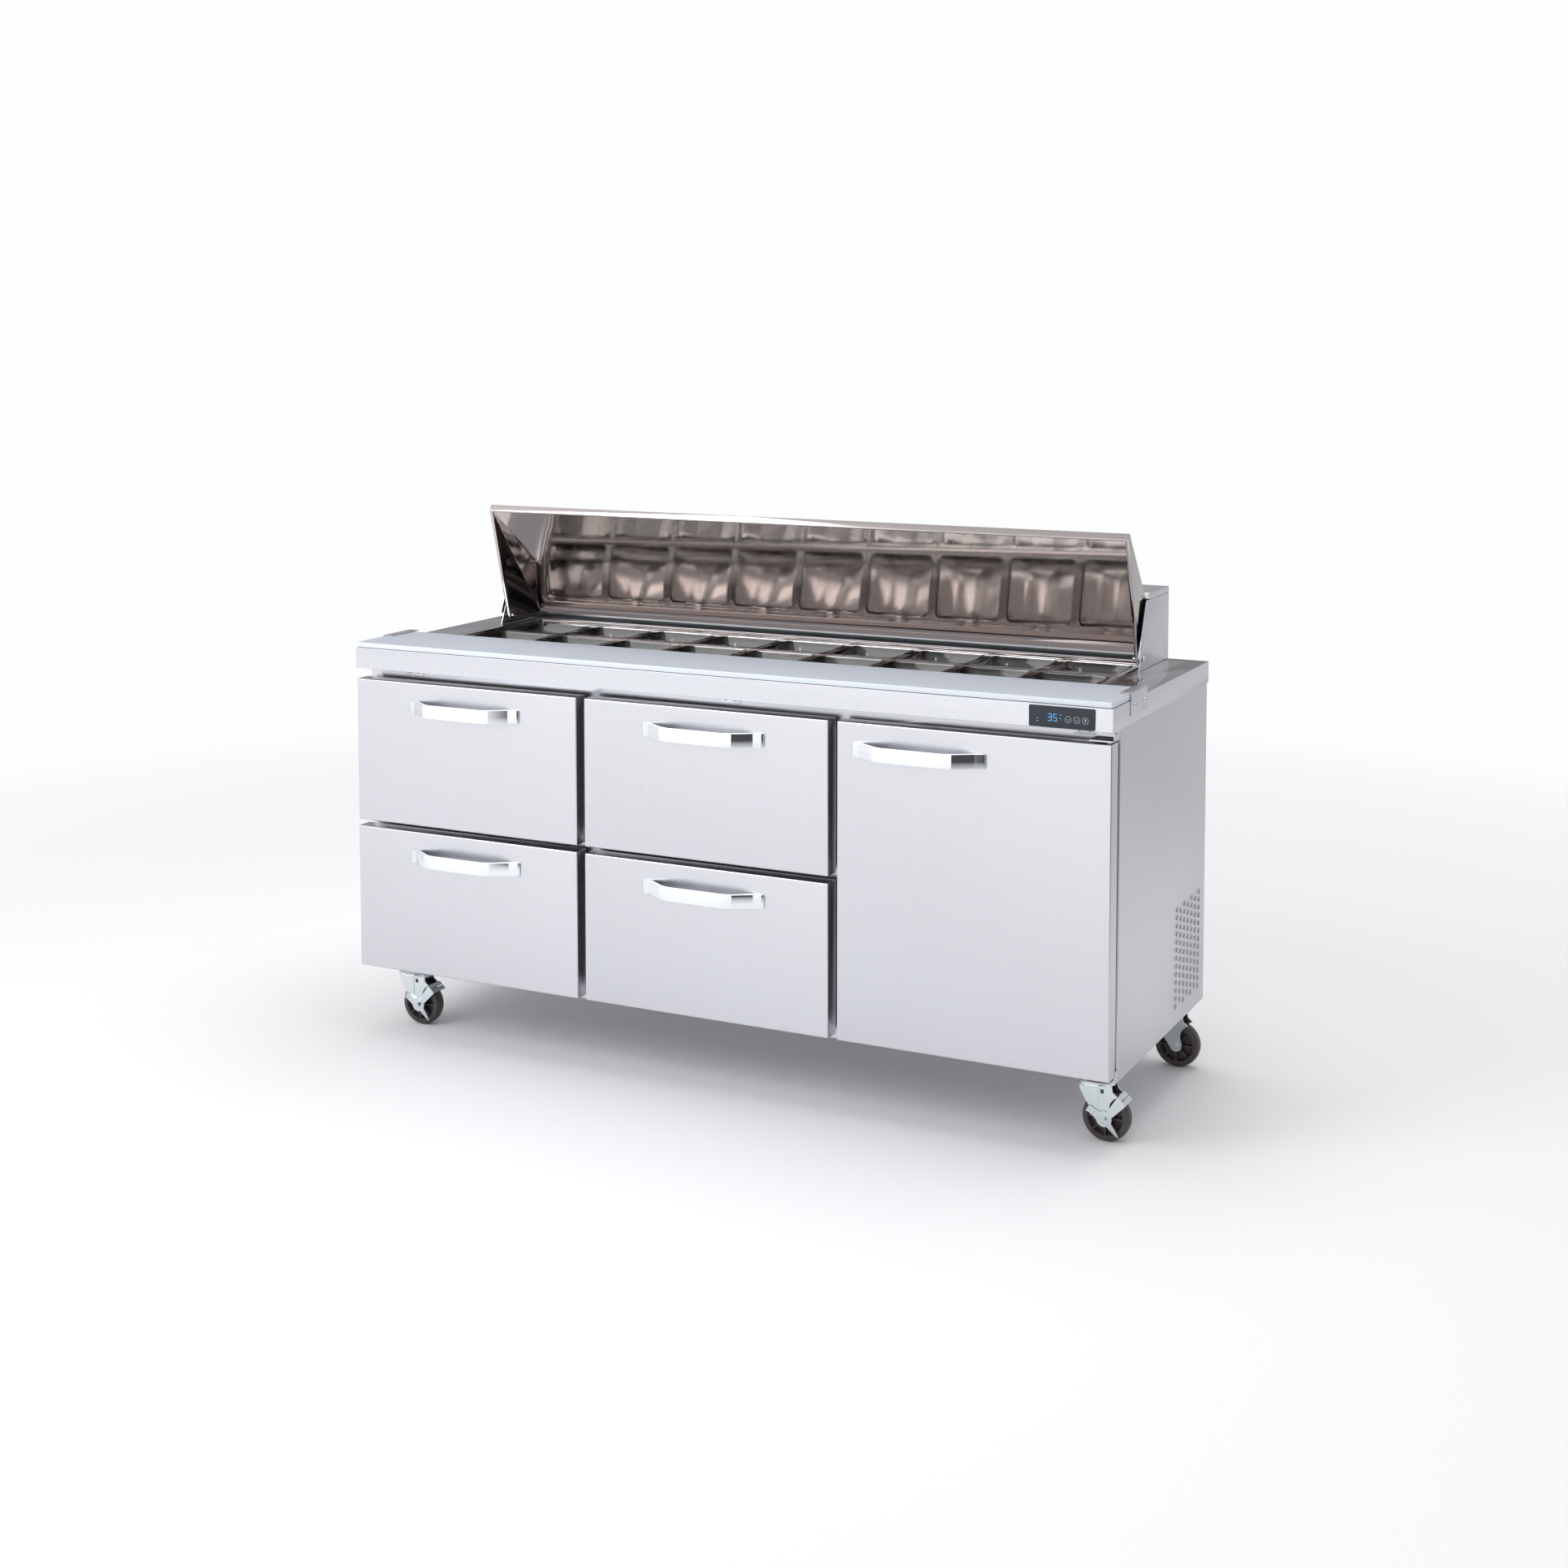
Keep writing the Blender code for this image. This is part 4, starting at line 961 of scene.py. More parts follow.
# ------------------------------------------------------------------ fronts
class MakeFronts(bpy.types.Operator):
    """The four drawer fronts and the door: folded pans with a seam round the back liner"""
    bl_idname = "prep_table.fronts"
    bl_label = "Fronts"

    def execute(self, context):
        edge = context.scene.prep_table_sizes.front_edge
        for name in DRAWERS:
            self.make_front(name + "_front", name, edge)
        self.make_front("door_panel", "door", edge)
        return {"FINISHED"}

    def make_front(self, node, body, edge):
        low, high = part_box(node)
        rings = []
        for step in range(5):
            turn = math.pi / 2 * step / 4
            rings.append((edge * (1 - math.sin(turn)), low.y + edge * (1 - math.cos(turn))))
        back = high.y
        rings += [(0.0, back - 0.0012), (0.0012, back), (0.0085, back), (0.0088, back - 0.0028),
                  (0.0262, back - 0.0028), (0.0265, back - 0.0004), (0.0300, back - 0.0004),
                  (0.0360, back - 0.0024)]
        bm = bmesh.new()
        add_stack(bm, 1, [(low.x + inset, high.x - inset, low.z + inset, high.z - inset, level,
                           max(0.0014, inset)) for inset, level in rings], steps=3)
        finish_piece(node + "_shell", bm, brushed_steel, body, (node,))


class MakeHandles(bpy.types.Operator):
    """The arched chrome handles: a straight grip between two slanted ends"""
    bl_idname = "prep_table.handles"
    bl_label = "Handles"

    def execute(self, context):
        edge = context.scene.prep_table_sizes.handle_edge
        for name in DRAWERS + ["door"]:
            self.make_handle(name + "_handle", name, edge)
        return {"FINISHED"}

    def make_handle(self, node, body, edge):
        low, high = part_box(node)
        middle = (low + high) / 2
        half = (high.x - low.x) / 2
        reach = high.y - low.y
        bar, grip = 0.0065, 0.076
        plan = [(0.0, reach), (grip - 0.010, reach), (grip + 0.012, reach - 0.005), (half - 0.022, 0.0130),
                (half - 0.0035, 0.0052), (half, 0.0028)]
        right = cut_corners(plan, 0.0016)
        stations = [(-point.x, point.y) for point in reversed(right[1:])] + [tuple(p) for p in right]
        loops = []
        bm = bmesh.new()
        for x, out in stations:
            inner = self.inner_face(abs(x), half, reach, bar, grip)
            tall = (high.z - low.z) / 2
            from_end = half - abs(x)
            if from_end < 0.004:
                tall -= 0.004 - math.sqrt(max(0.004 ** 2 - (0.004 - from_end) ** 2, 0.0))
            radius = min(edge, (out - inner) / 2.2)
            outline = round_rectangle(high.y - out, high.y - inner, middle.z - tall, middle.z + tall,
                                      radius, 4)
            loops.append([bm.verts.new((middle.x + x, y, z)) for y, z in outline])
        outward(bm, bridge(bm, loops, False) + [bm.faces.new(loops[0]), bm.faces.new(loops[-1])])
        finish_piece(node + "_bar", bm, chrome, body, (node,), sharp=50.0)

    @staticmethod
    def inner_face(x, half, reach, bar, grip):
        """How far the back of the bar stands out, x from the handle's middle."""
        plan = [(0.0, reach - bar), (grip - 0.011, reach - bar), (grip + 0.008, reach - bar - 0.0045),
                (half - 0.032, 0.0), (half + 0.001, 0.0)]
        for (x0, y0), (x1, y1) in zip(plan, plan[1:]):
            if x <= x1:
                return y0 + (y1 - y0) * (x - x0) / (x1 - x0)
        return 0.0


class MakeGaskets(bpy.types.Operator):
    """The magnetic gaskets: a flat foot, a bellows and a round magnet sleeve"""
    bl_idname = "prep_table.gaskets"
    bl_label = "Gaskets"

    def execute(self, context):
        for name in DRAWERS + ["door"]:
            low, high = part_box(name + "_gasket")
            thick = high.y - low.y
            wide = 0.014
            section = [(0.0, 0.0), (0.0, 0.14), (0.16, 0.20), (0.10, 0.34), (0.0, 0.44), (0.0, 0.60),
                       (0.10, 0.68), (0.0, 0.78), (0.04, 0.94), (0.14, 1.0), (0.86, 1.0), (0.96, 0.94),
                       (1.0, 0.78), (0.90, 0.68), (1.0, 0.60), (1.0, 0.44), (0.90, 0.34), (0.84, 0.20),
                       (1.0, 0.14), (1.0, 0.0)]
            bm = bmesh.new()
            add_stack(bm, 1, [(low.x + u * wide, high.x - u * wide, low.z + u * wide, high.z - u * wide,
                               low.y + v * thick, 0.002 + u * 0.001) for u, v in section],
                      steps=2, hollow=True)
            finish_piece(name + "_gasket_bellows", bm, gasket_rubber, name, (name + "_gasket",))
        return {"FINISHED"}


class MakeDrawerInsides(bpy.types.Operator):
    """The drawer tubs and the racks with the rollers that they run on"""
    bl_idname = "prep_table.drawer_insides"
    bl_label = "Drawer insides"

    def execute(self, context):
        for name in DRAWERS:
            soften(name + "_tub", polished_steel, 0.0006)
        for column in ("left", "middle"):
            node = "drawer_rack_" + column
            soften(node, polished_steel, 0.0005)
            low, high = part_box(node)
            places = [((x, depth(y), z), (sign, 0, 0))
                      for sign, x in ((1, low.x + SHEET), (-1, high.x - SHEET))
                      for y in (0.130, 0.350, 0.570) for z in (0.300, 0.480, 0.640)]
            heads = scatter(pan_head(), places, zinc_plate, size=0.0030)
            finish_piece(node + "_screws", heads, zinc_plate, "table")
        return {"FINISHED"}


class MakeDoorFittings(bpy.types.Operator):
    """The door's pin brackets with their screws, and the wire shelf"""
    bl_idname = "prep_table.door_fittings"
    bl_label = "Door fittings"

    def execute(self, context):
        sizes = context.scene.prep_table_sizes
        for end in ("top", "bottom"):
            soften("door_hinge_" + end, brushed_steel, 0.0005)
        self.add_side_tabs(sizes)
        self.make_shelf(sizes.wire)
        return {"FINISHED"}

    def add_side_tabs(self, sizes):
        """The ends of the pin brackets, folded round the cabinet's corner, with a screw in each."""
        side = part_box("cabinet_body")[1].x
        bm = bmesh.new()
        screws = []
        for y0, y1, z0, z1, screw_y, screw_z in ((0.016, 0.0550, 0.8535, 0.8712, 0.029, 0.8640),
                                                 (0.036, 0.0550, 0.1490, 0.1750, 0.047, 0.1630)):
            add_slab(bm, 0, (side - 0.0022, depth(y0), z0), (side, depth(y1), z1), 0.002, 0.0004)
            screws.append(((side, depth(screw_y), screw_z), (1, 0, 0)))
        finish_piece("hinge_side_tabs", bm, brushed_steel, "table")
        heads = scatter(pan_head(), screws, zinc_plate, size=sizes.screw_head)
        finish_piece("hinge_tab_screws", heads, zinc_plate, "table")

    def make_shelf(self, wire):
        """Two rims of heavier wire, and thin wires across them."""
        low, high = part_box("door_shelf")
        heavy = wire * 1.5
        bm = bmesh.new()
        x0, x1, y0, y1 = low.x + heavy, high.x - heavy, low.y + heavy, high.y - heavy
        middle = low.z + heavy
        outline = round_rectangle(x0, x1, y0, y1, 0.012, 5)
        loop = [(x, y, middle) for x, y in outline]
        add_tube(bm, loop + [loop[0]], heavy, 10)
        for y in (low.y + 0.14, high.y - 0.14):
            add_tube(bm, [(x0, y, middle), (x1, y, middle)], heavy, 10)
        finish_piece("door_shelf_rim", bm, chrome, "table", ("door_shelf",))
        rod = bmesh.new()
        add_tube(rod, [(0, y0, 0), (0, y1, 0)], wire, 8)
        count = 22
        step = (x1 - x0 - 0.02) / (count - 1)
        places = [((x0 + 0.01 + step * index, 0, middle + heavy + wire), (0, 0, 1)) for index in range(count)]
        wires = scatter(mesh_of(rod, "rod"), places, chrome)
        finish_piece("door_shelf_wires", wires, chrome, "table", ("door_shelf",))


class MakeDisplay(bpy.types.Operator):
    """The control display: a lens, two lit digits, lamps and three touch keys"""
    bl_idname = "prep_table.display"
    bl_label = "Control display"

    def execute(self, context):
        low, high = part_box("control_display")
        bm = bmesh.new()
        add_slab(bm, 1, low, high, 0.003, 0.0008, steps=4)
        finish_piece("display_lens", bm, display_glass, "table", ("control_display",))
        self.face = low.y
        self.add_digits(low)
        self.add_print(low)
        return {"FINISHED"}

    def add_stroke(self, bm, x0, x1, z0, z1):
        add_slab(bm, 1, (x0, self.face - 0.00012, z0), (x1, self.face + 0.0001, z1), 0.0003, 0.00003, steps=2)

    def add_digits(self, low):
        """Seven-segment figures for a fridge temperature."""
        segments = {"3": "abgcd", "5": "afgcd"}
        tall, wide, thick = 0.0150, 0.0078, 0.0013
        foot = low.z + 0.0135
        bm = bmesh.new()
        for position, figure in enumerate("35"):
            x = low.x + 0.0405 + position * 0.0112
            bars = {"a": (0, wide, tall - thick, tall),
                    "g": (0, wide, (tall - thick) / 2, (tall + thick) / 2),
                    "d": (0, wide, 0, thick), "b": (wide - thick, wide, tall / 2, tall),
                    "c": (wide - thick, wide, 0, tall / 2), "f": (0, thick, tall / 2, tall),
                    "e": (0, thick, 0, tall / 2)}
            for letter in segments[figure]:
                a, b, c, d = bars[letter]
                self.add_stroke(bm, x + a, x + b, foot + c, foot + d)
        for x, z in ((0.0175, 0.0170), (0.0175, 0.0110), (0.0660, 0.0260), (0.0660, 0.0190)):
            self.add_stroke(bm, low.x + x, low.x + x + 0.0022, low.z + z, low.z + z + 0.0020)
        finish_piece("display_digits", bm, display_digits, "table")

    def add_print(self, low):
        """Ring-shaped touch keys with a down arrow, an up arrow and a lamp sign."""
        bm = bmesh.new()
        rise = low.z + 0.0190
        for key, x in enumerate((0.0830, 0.1010, 0.1190)):
            centre = (low.x + x, self.face, rise)
            add_turned(bm, [(0.0058, -0.0001), (0.0067, -0.0001), (0.0067, 0.00012), (0.0058, 0.00012)],
                       centre, (0, -1, 0), 32)
            if key < 2:
                tip = -0.0012 if key == 0 else 0.0012
                for side in (-1, 1):
                    outline = [(centre[0], rise + tip), (centre[0] + side * 0.0026, rise - tip),
                               (centre[0] + side * 0.0026, rise - tip - 0.0013),
                               (centre[0], rise + tip - 0.0013)]
                    add_prism(bm, outline, 1, self.face - 0.00012, self.face + 0.0001)
            else:
                add_turned(bm, [(0, -0.0001), (0.0020, -0.0001), (0.0020, 0.00012), (0, 0.00012)],
                           centre, (0, -1, 0), 20)
                self.add_stroke(bm, centre[0] - 0.0009, centre[0] + 0.0009, rise + 0.0018, rise + 0.0034)
        finish_piece("display_keys", bm, display_print, "table")


# ------------------------------------------------------------------ refrigeration
class MakeRefrigeration(bpy.types.Operator):
    """The machine compartment and the cold coil: cans, finned blocks, pipes, fans and grille"""
    bl_idname = "prep_table.refrigeration"
    bl_label = "Refrigeration"

    def execute(self, context):
        self.make_compressor()
        self.make_coil("condenser", 0, 62)
        self.make_coil("evaporator", 1, 110)
        self.make_grille()
        for node in ("condenser_fan", "evaporator_fan"):
            soften(node, fan_plastic, 0.0005)
        return {"FINISHED"}

    def make_compressor(self):
        low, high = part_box("compressor")
        cx, cy = (low.x + high.x) / 2, (low.y + high.y) / 2
        tall = high.z - low.z
        half = (high.x - low.x) / 2
        profile = [(0.0, 0.03), (0.55, 0.035), (0.84, 0.10), (0.91, 0.20), (0.91, 0.50), (0.955, 0.505),
                   (0.955, 0.545), (0.91, 0.55), (0.91, 0.72), (0.86, 0.84), (0.70, 0.93), (0.40, 0.985),
                   (0.0, 1.0)]
        bm = bmesh.new()
        add_turned(bm, [(r * half, z * tall) for r, z in profile], (cx, cy, low.z), (0, 0, 1), 48)
        for angle in (45, 135, 225, 315):
            turn = math.radians(angle)
            x, y = cx + half * 0.86 * math.cos(turn), cy + half * 0.86 * math.sin(turn)
            foot = 0.012
            add_slab(bm, 2, (x - foot, y - foot, low.z), (x + foot, y + foot, low.z + foot), 0.004, 0.001)
        finish_piece("compressor_can", bm, black_paint, "table", ("compressor",))
        pipes = bmesh.new()
        top = low.z + tall * 0.8
        for sign, rise in ((-1, 0.030), (1, 0.045)):
            start = Vector((cx + 0.055, cy + sign * 0.030, top))
            route = [start, start + Vector((0.030, 0, 0.005))]
            route += [route[-1] + Vector((0.014 * math.sin(t), 0, 0.014 * (1 - math.cos(t)))) for t in
                      (0.5, 1.0, math.pi / 2)]
            route.append(route[-1] + Vector((0, 0, rise)))
            add_tube(pipes, route, 0.0042, 12)
        finish_piece("compressor_pipes", pipes, copper, "table")

    def make_coil(self, node, axis, count):
        """A finned block: end plates, thin fins and the rows of tubes through them."""
        low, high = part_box(node)
        size = high - low
        long_axis = 1 - axis
        step = [0.0, 0.0, 0.0]
        step[long_axis] = (size[long_axis] - 0.012) / (count - 1)
        bar = [size.x - 0.002, size.y - 0.002, size.z - 0.002]
        bar[long_axis] = 0.0004
        start = (low + high) / 2
        start[long_axis] = low[long_axis] + 0.006
        fins = row(count, start, step, bar, fin_aluminium)
        finish_piece(node + "_fins", fins, fin_aluminium, "table", (node,), sharp=20.0)
        plates = bmesh.new()
        for edge in (low[long_axis], high[long_axis] - 0.0012):
            first, last = low.copy(), high.copy()
            first[long_axis] = edge
            last[long_axis] = edge + 0.0012
            add_slab(plates, long_axis, first, last, 0.002, 0.0003)
        finish_piece(node + "_end_plates", plates, galvanised, "table")
        tubes = bmesh.new()
        rows = max(2, round(size.z / 0.028))
        for index in range(rows):
            z = low.z + size.z * (index + 0.5) / rows
            for share in (0.3, 0.7):
                ends = [(low + high) / 2, (low + high) / 2]
                for end, level in zip(ends, (low[long_axis] + 0.0002, high[long_axis] - 0.0002)):
                    end[long_axis] = level
                    end[axis] = low[axis] + size[axis] * share
                    end.z = z
                add_tube(tubes, ends, 0.0045, 10)
        finish_piece(node + "_tubes", tubes, copper, "table")

    def make_grille(self):
        """The back grille's frame, with a slanted louvre over each slot and a screw at each corner."""
        soften("rear_grille", galvanised, 0.0003)
        low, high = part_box("rear_grille")
        inset, count = 0.030, 17
        step = (high.z - low.z - 2 * inset) / (count - 1)
        start = ((low.x + high.x) / 2, high.y + 0.0006, low.z + inset)
        louvres = row(count, start, (0, 0, step), (high.x - low.x - 0.03, 0.0070, 0.0007), galvanised,
                      lean=(math.radians(-38), 0.0, 0.0))
        finish_piece("grille_louvres", louvres, galvanised, "table", sharp=20.0)
        places = [((x, high.y, z), (0, 1, 0)) for x in (low.x + 0.007, high.x - 0.007)
                  for z in (low.z + 0.011, high.z - 0.011)]
        heads = scatter(pan_head(), places, zinc_plate, size=SMALL_SCREW)
        finish_piece("grille_screws", heads, zinc_plate, "table")


# ------------------------------------------------------------------ casters
class MakeCasters(bpy.types.Operator):
    """The four casters: plate and raceway, pressed fork, spoked wheel and, in front, a brake"""
    bl_idname = "prep_table.casters"
    bl_label = "Casters"

    def execute(self, context):
        for name in CASTERS:
            low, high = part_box(name + "_plate")
            self.pivot = Vector(((low.x + high.x) / 2, (low.y + high.y) / 2, low.z))
            wheel_low, wheel_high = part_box(name + "_wheel")
            self.axle = (wheel_low + wheel_high) / 2
            self.radius = (wheel_high.z - wheel_low.z) / 2
            self.half = (wheel_high.y - wheel_low.y) / 2
            self.make_plate(name, low, high)
            self.make_fork(name)
            self.make_wheel(name)
            if name.startswith("front"):
                self.make_brake(name)
        return {"FINISHED"}

    def make_plate(self, name, low, high):
        """Top plate with a bolt at each corner, over the fixed half of the raceway."""
        bm = bmesh.new()
        add_slab(bm, 2, (low.x, low.y, high.z - 0.003), high, 0.008, 0.0006)
        race = high.z - 0.003
        add_turned(bm, [(0, race), (0.026, race), (0.031, race - 0.0012), (0.0370, race - 0.0050),
                        (0.0390, race - 0.0072), (0.0388, race - 0.0090), (0.0360, race - 0.0105),
                        (0.0345, low.z + 0.0006), (0.0335, low.z), (0, low.z)],
                   (self.pivot.x, self.pivot.y, 0), (0, 0, 1), 48)
        finish_piece(name + "_plate_pressing", bm, zinc_plate, "table", (name + "_plate",))
        places = [((self.pivot.x + sx * 0.037, self.pivot.y + sy * 0.031, high.z - 0.003), (0, 0, -1))
                  for sx in (-1, 1) for sy in (-1, 1)]
        heads = scatter(hex_head(), places, zinc_plate, size=0.0062)
        finish_piece(name + "_bolts", heads, zinc_plate, "table")

    def make_fork(self, name):
        """Crown, two legs with a pressed ridge and a square hole, a curved front, and the axle bolt."""
        node_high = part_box(name + "_fork")[1]
        crown = node_high.z
        x, y = self.pivot.x, self.pivot.y
        bm = bmesh.new()
        add_turned(bm, [(0, crown), (0.0335, crown), (0.0385, crown - 0.0028), (0.0405, crown - 0.0066),
                        (0.0400, crown - 0.0120), (0.0375, crown - 0.0132), (0, crown - 0.0118)],
                   (x, y, 0), (0, 0, 1), 48)
        inner, leg = self.half + 0.0025, 0.0028
        ax, az = self.axle.x, self.axle.z
        boss = arc(ax, az, 0.0135, -165, 12, 12)
        hollow = arc(ax + 0.0385, az + 0.0215, 0.0285, 207, 112, 12)
        outline = [(x - 0.0300, crown - 0.0100), (x - 0.0310, crown - 0.0260), (x - 0.0205, crown - 0.0450)]
        outline += boss + hollow + [(x + 0.0390, crown - 0.0240), (x + 0.0370, crown - 0.0100)]
        for sign in (-1, 1):
            near, far = sorted((y + sign * inner, y + sign * (inner + leg)))
            plate = bmesh.new()
            add_prism(plate, outline, 1, near, far)
            round_corners(plate, 0.0006)
            self.merge(bm, plate)
            face = y + sign * (inner + leg)
            ridge = [(x + 0.0020, crown - 0.0120), (x + 0.0080, crown - 0.0120), (x + 0.0095, crown - 0.0560),
                     (x + 0.0055, crown - 0.0600), (x + 0.0020, crown - 0.0540)]
            lift = bmesh.new()
            add_prism(lift, ridge, 1, min(face - sign * 0.0005, face + sign * 0.0014),
                      max(face - sign * 0.0005, face + sign * 0.0014))
            bmesh.ops.bevel(lift, geom=list(lift.edges), offset=0.0007, segments=2, affect="EDGES")
            self.merge(bm, lift)
        self.add_front_skirt(bm, x, y, crown)
        finish_piece(name + "_fork_pressing", bm, zinc_plate, name, (name + "_fork",))
        bolt = bmesh.new()
        reach = inner + leg
        add_turned(bolt, [(0, -reach - 0.0042), (0.0042, -reach - 0.0042), (0.0045, -reach - 0.0036),
                          (0.0045, reach + 0.0036), (0.0042, reach + 0.0042), (0, reach + 0.0042)],
                   self.axle, (0, 1, 0), 24)
        finish_piece(name + "_axle_bolt", bolt, zinc_plate, name)
        nut_gap = 0.0038 if name.startswith("front") else 0.0
        places = [((ax, y - reach - nut_gap, az), (0, -1, 0)), ((ax, y + reach, az), (0, 1, 0))]
        nuts = scatter(hex_head(), places, zinc_plate, size=0.0085)
        finish_piece(name + "_axle_nuts", nuts, zinc_plate, name)
        self.add_square_hole_shade(name, x, y, inner + leg, crown)

    def add_front_skirt(self, bm, x, y, crown):
        """The sheet between the legs at the leading side, curved about the swivel axis."""
        loops = []
        for radius, z in ((0.0385, crown - 0.008), (0.0372, crown - 0.024), (0.0340, crown - 0.030),
                          (0.0325, crown - 0.030), (0.0352, crown - 0.023), (0.0365, crown - 0.008)):
            points = arc(x, y, radius, 148, 212, 10)
            loops.append([bm.verts.new((px, py, z)) for px, py in points])
        faces = []
        for first, second in zip(loops, loops[1:] + loops[:1]):
            for index in range(len(first) - 1):
                faces.append(bm.faces.new((first[index], first[index + 1], second[index + 1], second[index])))
        faces.append(bm.faces.new([loop[0] for loop in loops]))
        faces.append(bm.faces.new([loop[-1] for loop in loops]))
        outward(bm, faces)

    def add_square_hole_shade(self, name, x, y, reach, crown):
        """The square holes near the top of each leg, shown as shallow sunk plugs of dark rubber: painted
        shade where the holes are.
        """
        bm = bmesh.new()
        for sign in (-1, 1):
            face = y + sign * (reach + 0.0002)
            near, far = sorted((face, face - sign * 0.001))
            add_slab(bm, 1, (x + 0.0130, near, crown - 0.0290), (x + 0.0205, far, crown - 0.0200),
                     0.0006, 0.0002)
        # The plugs are painted shade: dark rubber stands for the shade inside the holes.
        finish_piece(name + "_fork_windows", bm, gasket_rubber, name)

    @staticmethod
    def merge(bm, other):
        mesh = mesh_of(other, "part")
        bm.from_mesh(mesh)
        bpy.data.meshes.remove(mesh)

    def make_wheel(self, name):
        """Rim with a crowned tread, thin web, hub, and spokes on both faces."""
        half, radius = self.half, self.radius
        side = [(0.0052, -half), (0.0115, -half), (0.0130, -half + 0.0015), (0.0138, -0.0035),
                (0.0335, -0.0035), (0.0365, -half + 0.0022), (0.0378, -half), (0.0440, -half),
                (0.0478, -half + 0.0016), (radius - 0.0006, -half + 0.0060), (radius, -0.0050)]
        profile = side + [(r, -along) for r, along in reversed(side)]
        bm = bmesh.new()
        add_turned(bm, profile, self.axle, (0, 1, 0), 64)
        spokes = bmesh.new()
        for sign in (-1, 1):
            add_slab(spokes, 1, (0.0120, min(sign * 0.003, sign * (half - 0.0012)), -0.0016),
                     (0.0370, max(sign * 0.003, sign * (half - 0.0012)), 0.0016), 0.0004, 0.0005, steps=2)
        spoke = mesh_of(spokes, "spoke")
        for index in range(8):
            turned = spoke.copy()
            turned.transform(Matrix.Translation(self.axle) @ Matrix.Rotation(2 * math.pi * index / 8, 4, "Y"))
            bm.from_mesh(turned)
            bpy.data.meshes.remove(turned)
        finish_piece(name + "_wheel_moulding", bm, wheel_plastic, name + "_wheel", (name + "_wheel",))

    def make_brake(self, name):
        """Side lever with a ribbed pedal, a pointed foot and a strap over the wheel."""
        low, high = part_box(name + "_brake_lever")
        near, far = low.y, high.y
        ax, az = self.axle.x, self.axle.z

        def polar(radius, angle):
            turn = math.radians(angle)
            return (ax + radius * math.cos(turn), az + radius * math.sin(turn))

        outline = arc(ax, az, 0.0165, -25, 118, 12)
        outline += [polar(0.0240, 133), polar(0.0400, 141), polar(0.0410, 160), polar(0.0230, 172)]
        outline += arc(ax, az, 0.0165, 190, 292, 9)
        outline += [polar(0.0300, 304), polar(0.0455, 309), polar(0.0455, 314), polar(0.0280, 322)]
        bm = bmesh.new()
        add_prism(bm, outline, 1, near, far)
        round_corners(bm, 0.0006)
        for angle, radius in ((143, 0.0275), (146, 0.0335), (149, 0.0390)):
            ridge = bmesh.new()
            start, end = polar(radius, angle - 6), polar(radius, angle + 13)
            add_tube(ridge, [(start[0], near, start[1]), (end[0], near, end[1])], 0.0016, 10)
            self.merge(bm, ridge)
        first, last = polar(0.020, 300), polar(0.0452, 311.5)
        fold = bmesh.new()
        add_tube(fold, [(first[0], near, first[1]), (last[0], near, last[1])], 0.0014, 10)
        self.merge(bm, fold)
        self.add_strap(bm, near, far)
        finish_piece(name + "_brake_pressing", bm, zinc_plate, name + "_brake", (name + "_brake_lever",))

    def add_strap(self, bm, near, far):
        """The arm up from the lever, and the pressed strap that crosses the tread."""
        ax, az = self.axle.x, self.axle.z
        outer, inner = 0.0565, 0.0545
        edge_near, edge_far = near, 2 * self.axle.y - near
        for start, end in ((36, 47), (49, 60)):
            outline = arc(ax, az, outer, start, end, 6) + arc(ax, az, inner, end, start, 6)
            strap = bmesh.new()
            add_prism(strap, outline, 1, edge_near, edge_far)
            round_corners(strap, 0.0004)
            self.merge(bm, strap)
        arm = arc(ax, az, outer, 36, 60, 8) + [(ax + 0.0150 * math.cos(math.radians(70)), az + 0.0150),
                                               (ax + 0.0160, az + 0.0040)]
        plate = bmesh.new()
        add_prism(plate, arm, 1, near + 0.0002, far - 0.0002)
        round_corners(plate, 0.0005)
        self.merge(bm, plate)


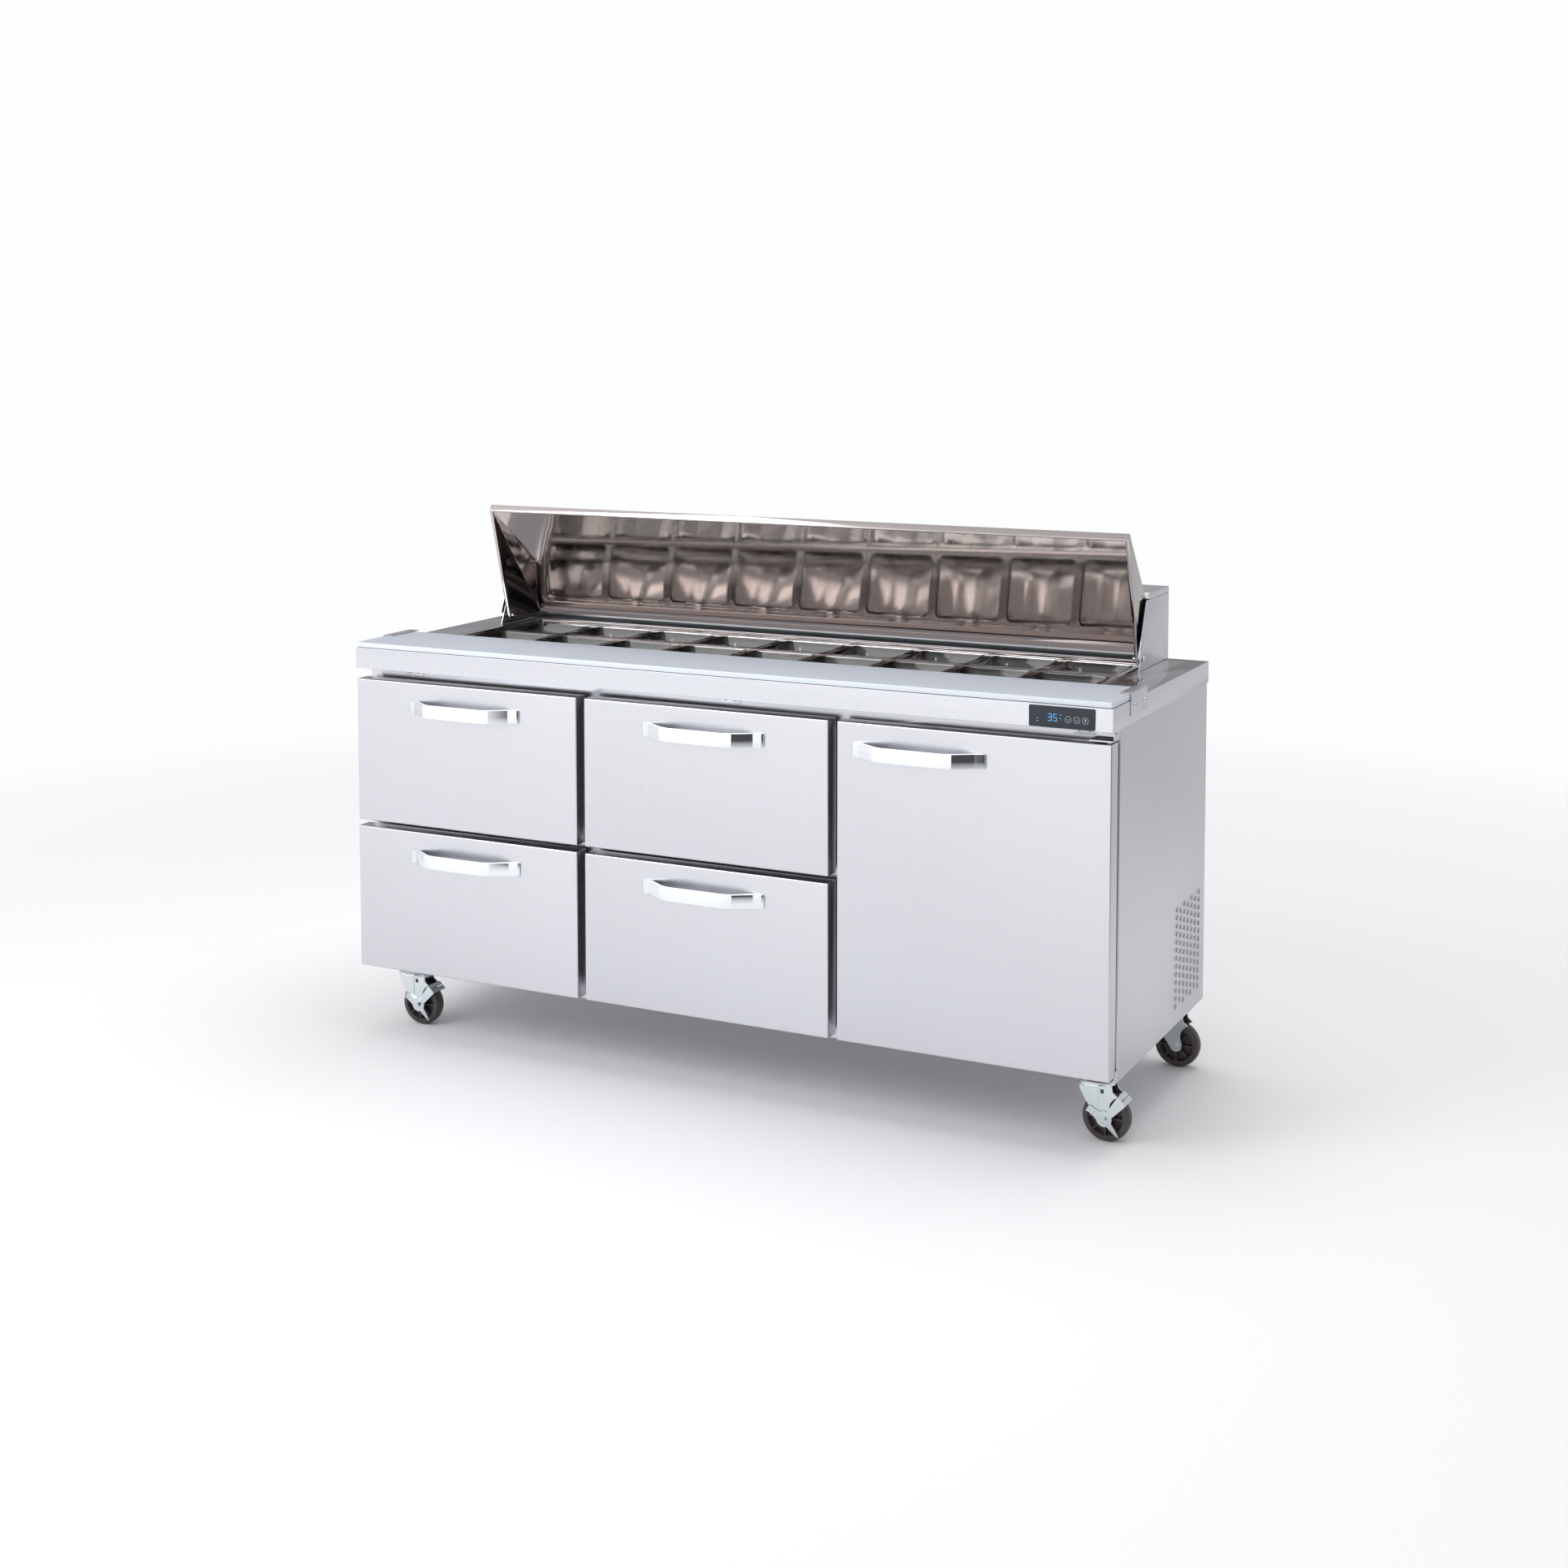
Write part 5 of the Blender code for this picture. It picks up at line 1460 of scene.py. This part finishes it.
# ------------------------------------------------------------------ stage
class MakeStage(bpy.types.Operator):
    """A pale floor that fades out, soft studio light and the camera"""
    bl_idname = "prep_table.stage"
    bl_label = "Stage"

    def execute(self, context):
        stage = context.scene.prep_table_stage
        self.make_floor(stage)
        self.make_world(context.scene)
        self.make_lights()
        self.make_camera(context.scene, stage)
        context.scene.view_settings.view_transform = "Standard"
        return {"FINISHED"}

    def make_floor(self, stage):
        made = Finish("floor")
        place = made.object_place()
        away = made.add("ShaderNodeVectorMath", {"operation": "LENGTH"}, {0: place}, output="Value")
        share = away / stage.floor_radius
        fade = made.add("ShaderNodeValToRGB", {"stops": [(0.36, 1.0), (0.95, 0.0)]}, {0: share})
        grey = made.add("ShaderNodeRGBToBW", None, {0: fade})
        made.surface(base_color=tuple(stage.floor), roughness=0.6, alpha=grey)
        bm = bmesh.new()
        bmesh.ops.create_circle(bm, cap_ends=True, segments=96, radius=stage.floor_radius)
        floor = bpy.data.objects.new("floor", mesh_of(bm, "floor"))
        floor.data.materials.append(made.material)
        bpy.context.scene.collection.objects.link(floor)

    def make_world(self, scene):
        """A studio all round: bright on the side the fronts face, darker behind and to the right."""
        world = bpy.data.worlds.new("studio")
        world.use_nodes = True
        scene.world = world
        nodes = Nodes(world.node_tree)
        heading = nodes.add("ShaderNodeTexCoord", output="Generated")
        x = nodes.add("ShaderNodeSeparateXYZ", None, {0: heading}, output="X")
        y = nodes.add("ShaderNodeSeparateXYZ", None, {0: heading}, output="Y")
        z = nodes.add("ShaderNodeSeparateXYZ", None, {0: heading}, output="Z")
        turn = x.maths("ARCTAN2", x, 0 - y) / (2 * math.pi) + 0.5
        walls = nodes.add("ShaderNodeValToRGB", {"stops": [
            (0.00, 0.26), (0.14, 0.28), (0.20, 0.50), (0.28, 0.86), (0.36, 1.0), (0.54, 1.0), (0.560, 0.90),
            (0.575, 0.06), (0.66, 0.05), (0.70, 0.35), (0.80, 0.39), (0.90, 0.50), (0.975, 0.54)]}, {0: turn})
        wall_grey = nodes.add("ShaderNodeRGBToBW", None, {0: walls})
        upward = nodes.add("ShaderNodeMapRange", None, {"Value": z, "From Min": 0.25, "From Max": 0.8})
        light = wall_grey * (1 - upward) * 1.3 + upward * 0.72
        eye = nodes.add("ShaderNodeLightPath", output="Is Camera Ray")
        seen = eye + (1 - eye) * light
        background = world.node_tree.nodes["Background"]
        nodes.feed(background.inputs["Strength"], seen)
        background.inputs["Color"].default_value = (0.985, 0.99, 1.0, 1.0)

    def make_lights(self):
        """One broad key from the front left and a weaker one overhead."""
        for name, place, aim, size, power in (
                ("key", (-2.6, -3.8, 3.6), (0, 0, 0.6), 2.6, 95.0),
                ("overhead", (0.3, 0.6, 4.2), (0, 0, 0.9), 3.2, 70.0)):
            light = bpy.data.lights.new(name, "AREA")
            light.shape = "SQUARE"
            light.size = size
            light.energy = power
            lamp = bpy.data.objects.new(name, light)
            lamp.location = place
            lamp.rotation_euler = (Vector(aim) - Vector(place)).to_track_quat("-Z", "Y").to_euler()
            bpy.context.scene.collection.objects.link(lamp)

    def make_camera(self, scene, stage):
        camera = bpy.data.cameras.new("camera")
        camera.lens = stage.lens
        camera.sensor_width = 36.0
        camera.shift_y = stage.camera_rise
        viewer = bpy.data.objects.new("camera", camera)
        viewer.location = stage.camera_place
        viewer.rotation_euler = (math.pi / 2 - stage.camera_tilt, 0.0, stage.camera_turn)
        scene.collection.objects.link(viewer)
        scene.camera = viewer


# ------------------------------------------------------------------ add-on
PIECE_OPERATORS = (MakeCabinet, MakeWorktop, MakeHood, MakeLid, MakeBoard, MakePans, MakeFronts, MakeHandles,
                   MakeGaskets, MakeDrawerInsides, MakeDoorFittings, MakeDisplay, MakeRefrigeration,
                   MakeCasters)


class PrepTablePanel(bpy.types.Panel):
    """Buttons for each group of pieces, over the sizes and colours"""
    bl_idname = "VIEW3D_PT_prep_table"
    bl_label = "Prep table"
    bl_space_type = "VIEW_3D"
    bl_region_type = "UI"
    bl_category = "Prep table"

    def draw(self, context):
        for operator in PIECE_OPERATORS + (MakeStage,):
            self.layout.operator(operator.bl_idname)
        for group in (context.scene.prep_table_finish, context.scene.prep_table_sizes,
                      context.scene.prep_table_stage):
            for name in group.bl_rna.properties.keys()[2:]:
                self.layout.prop(group, name)


CLASSES = (PrepTableFinish, PrepTableSizes, PrepTableStage) + PIECE_OPERATORS + (MakeStage, PrepTablePanel)
GROUPS = {"prep_table_finish": PrepTableFinish, "prep_table_sizes": PrepTableSizes,
          "prep_table_stage": PrepTableStage}


def register():
    for item in CLASSES:
        bpy.utils.register_class(item)
    for name, group in GROUPS.items():
        setattr(bpy.types.Scene, name, bpy.props.PointerProperty(type=group))


def unregister():
    for name in GROUPS:
        delattr(bpy.types.Scene, name)
    for item in reversed(CLASSES):
        bpy.utils.unregister_class(item)


def main():
    register()
    for operator in (MakeStage,) + PIECE_OPERATORS:
        group, name = operator.bl_idname.split(".")
        getattr(getattr(bpy.ops, group), name)()


if __name__ == "__main__":
    main()
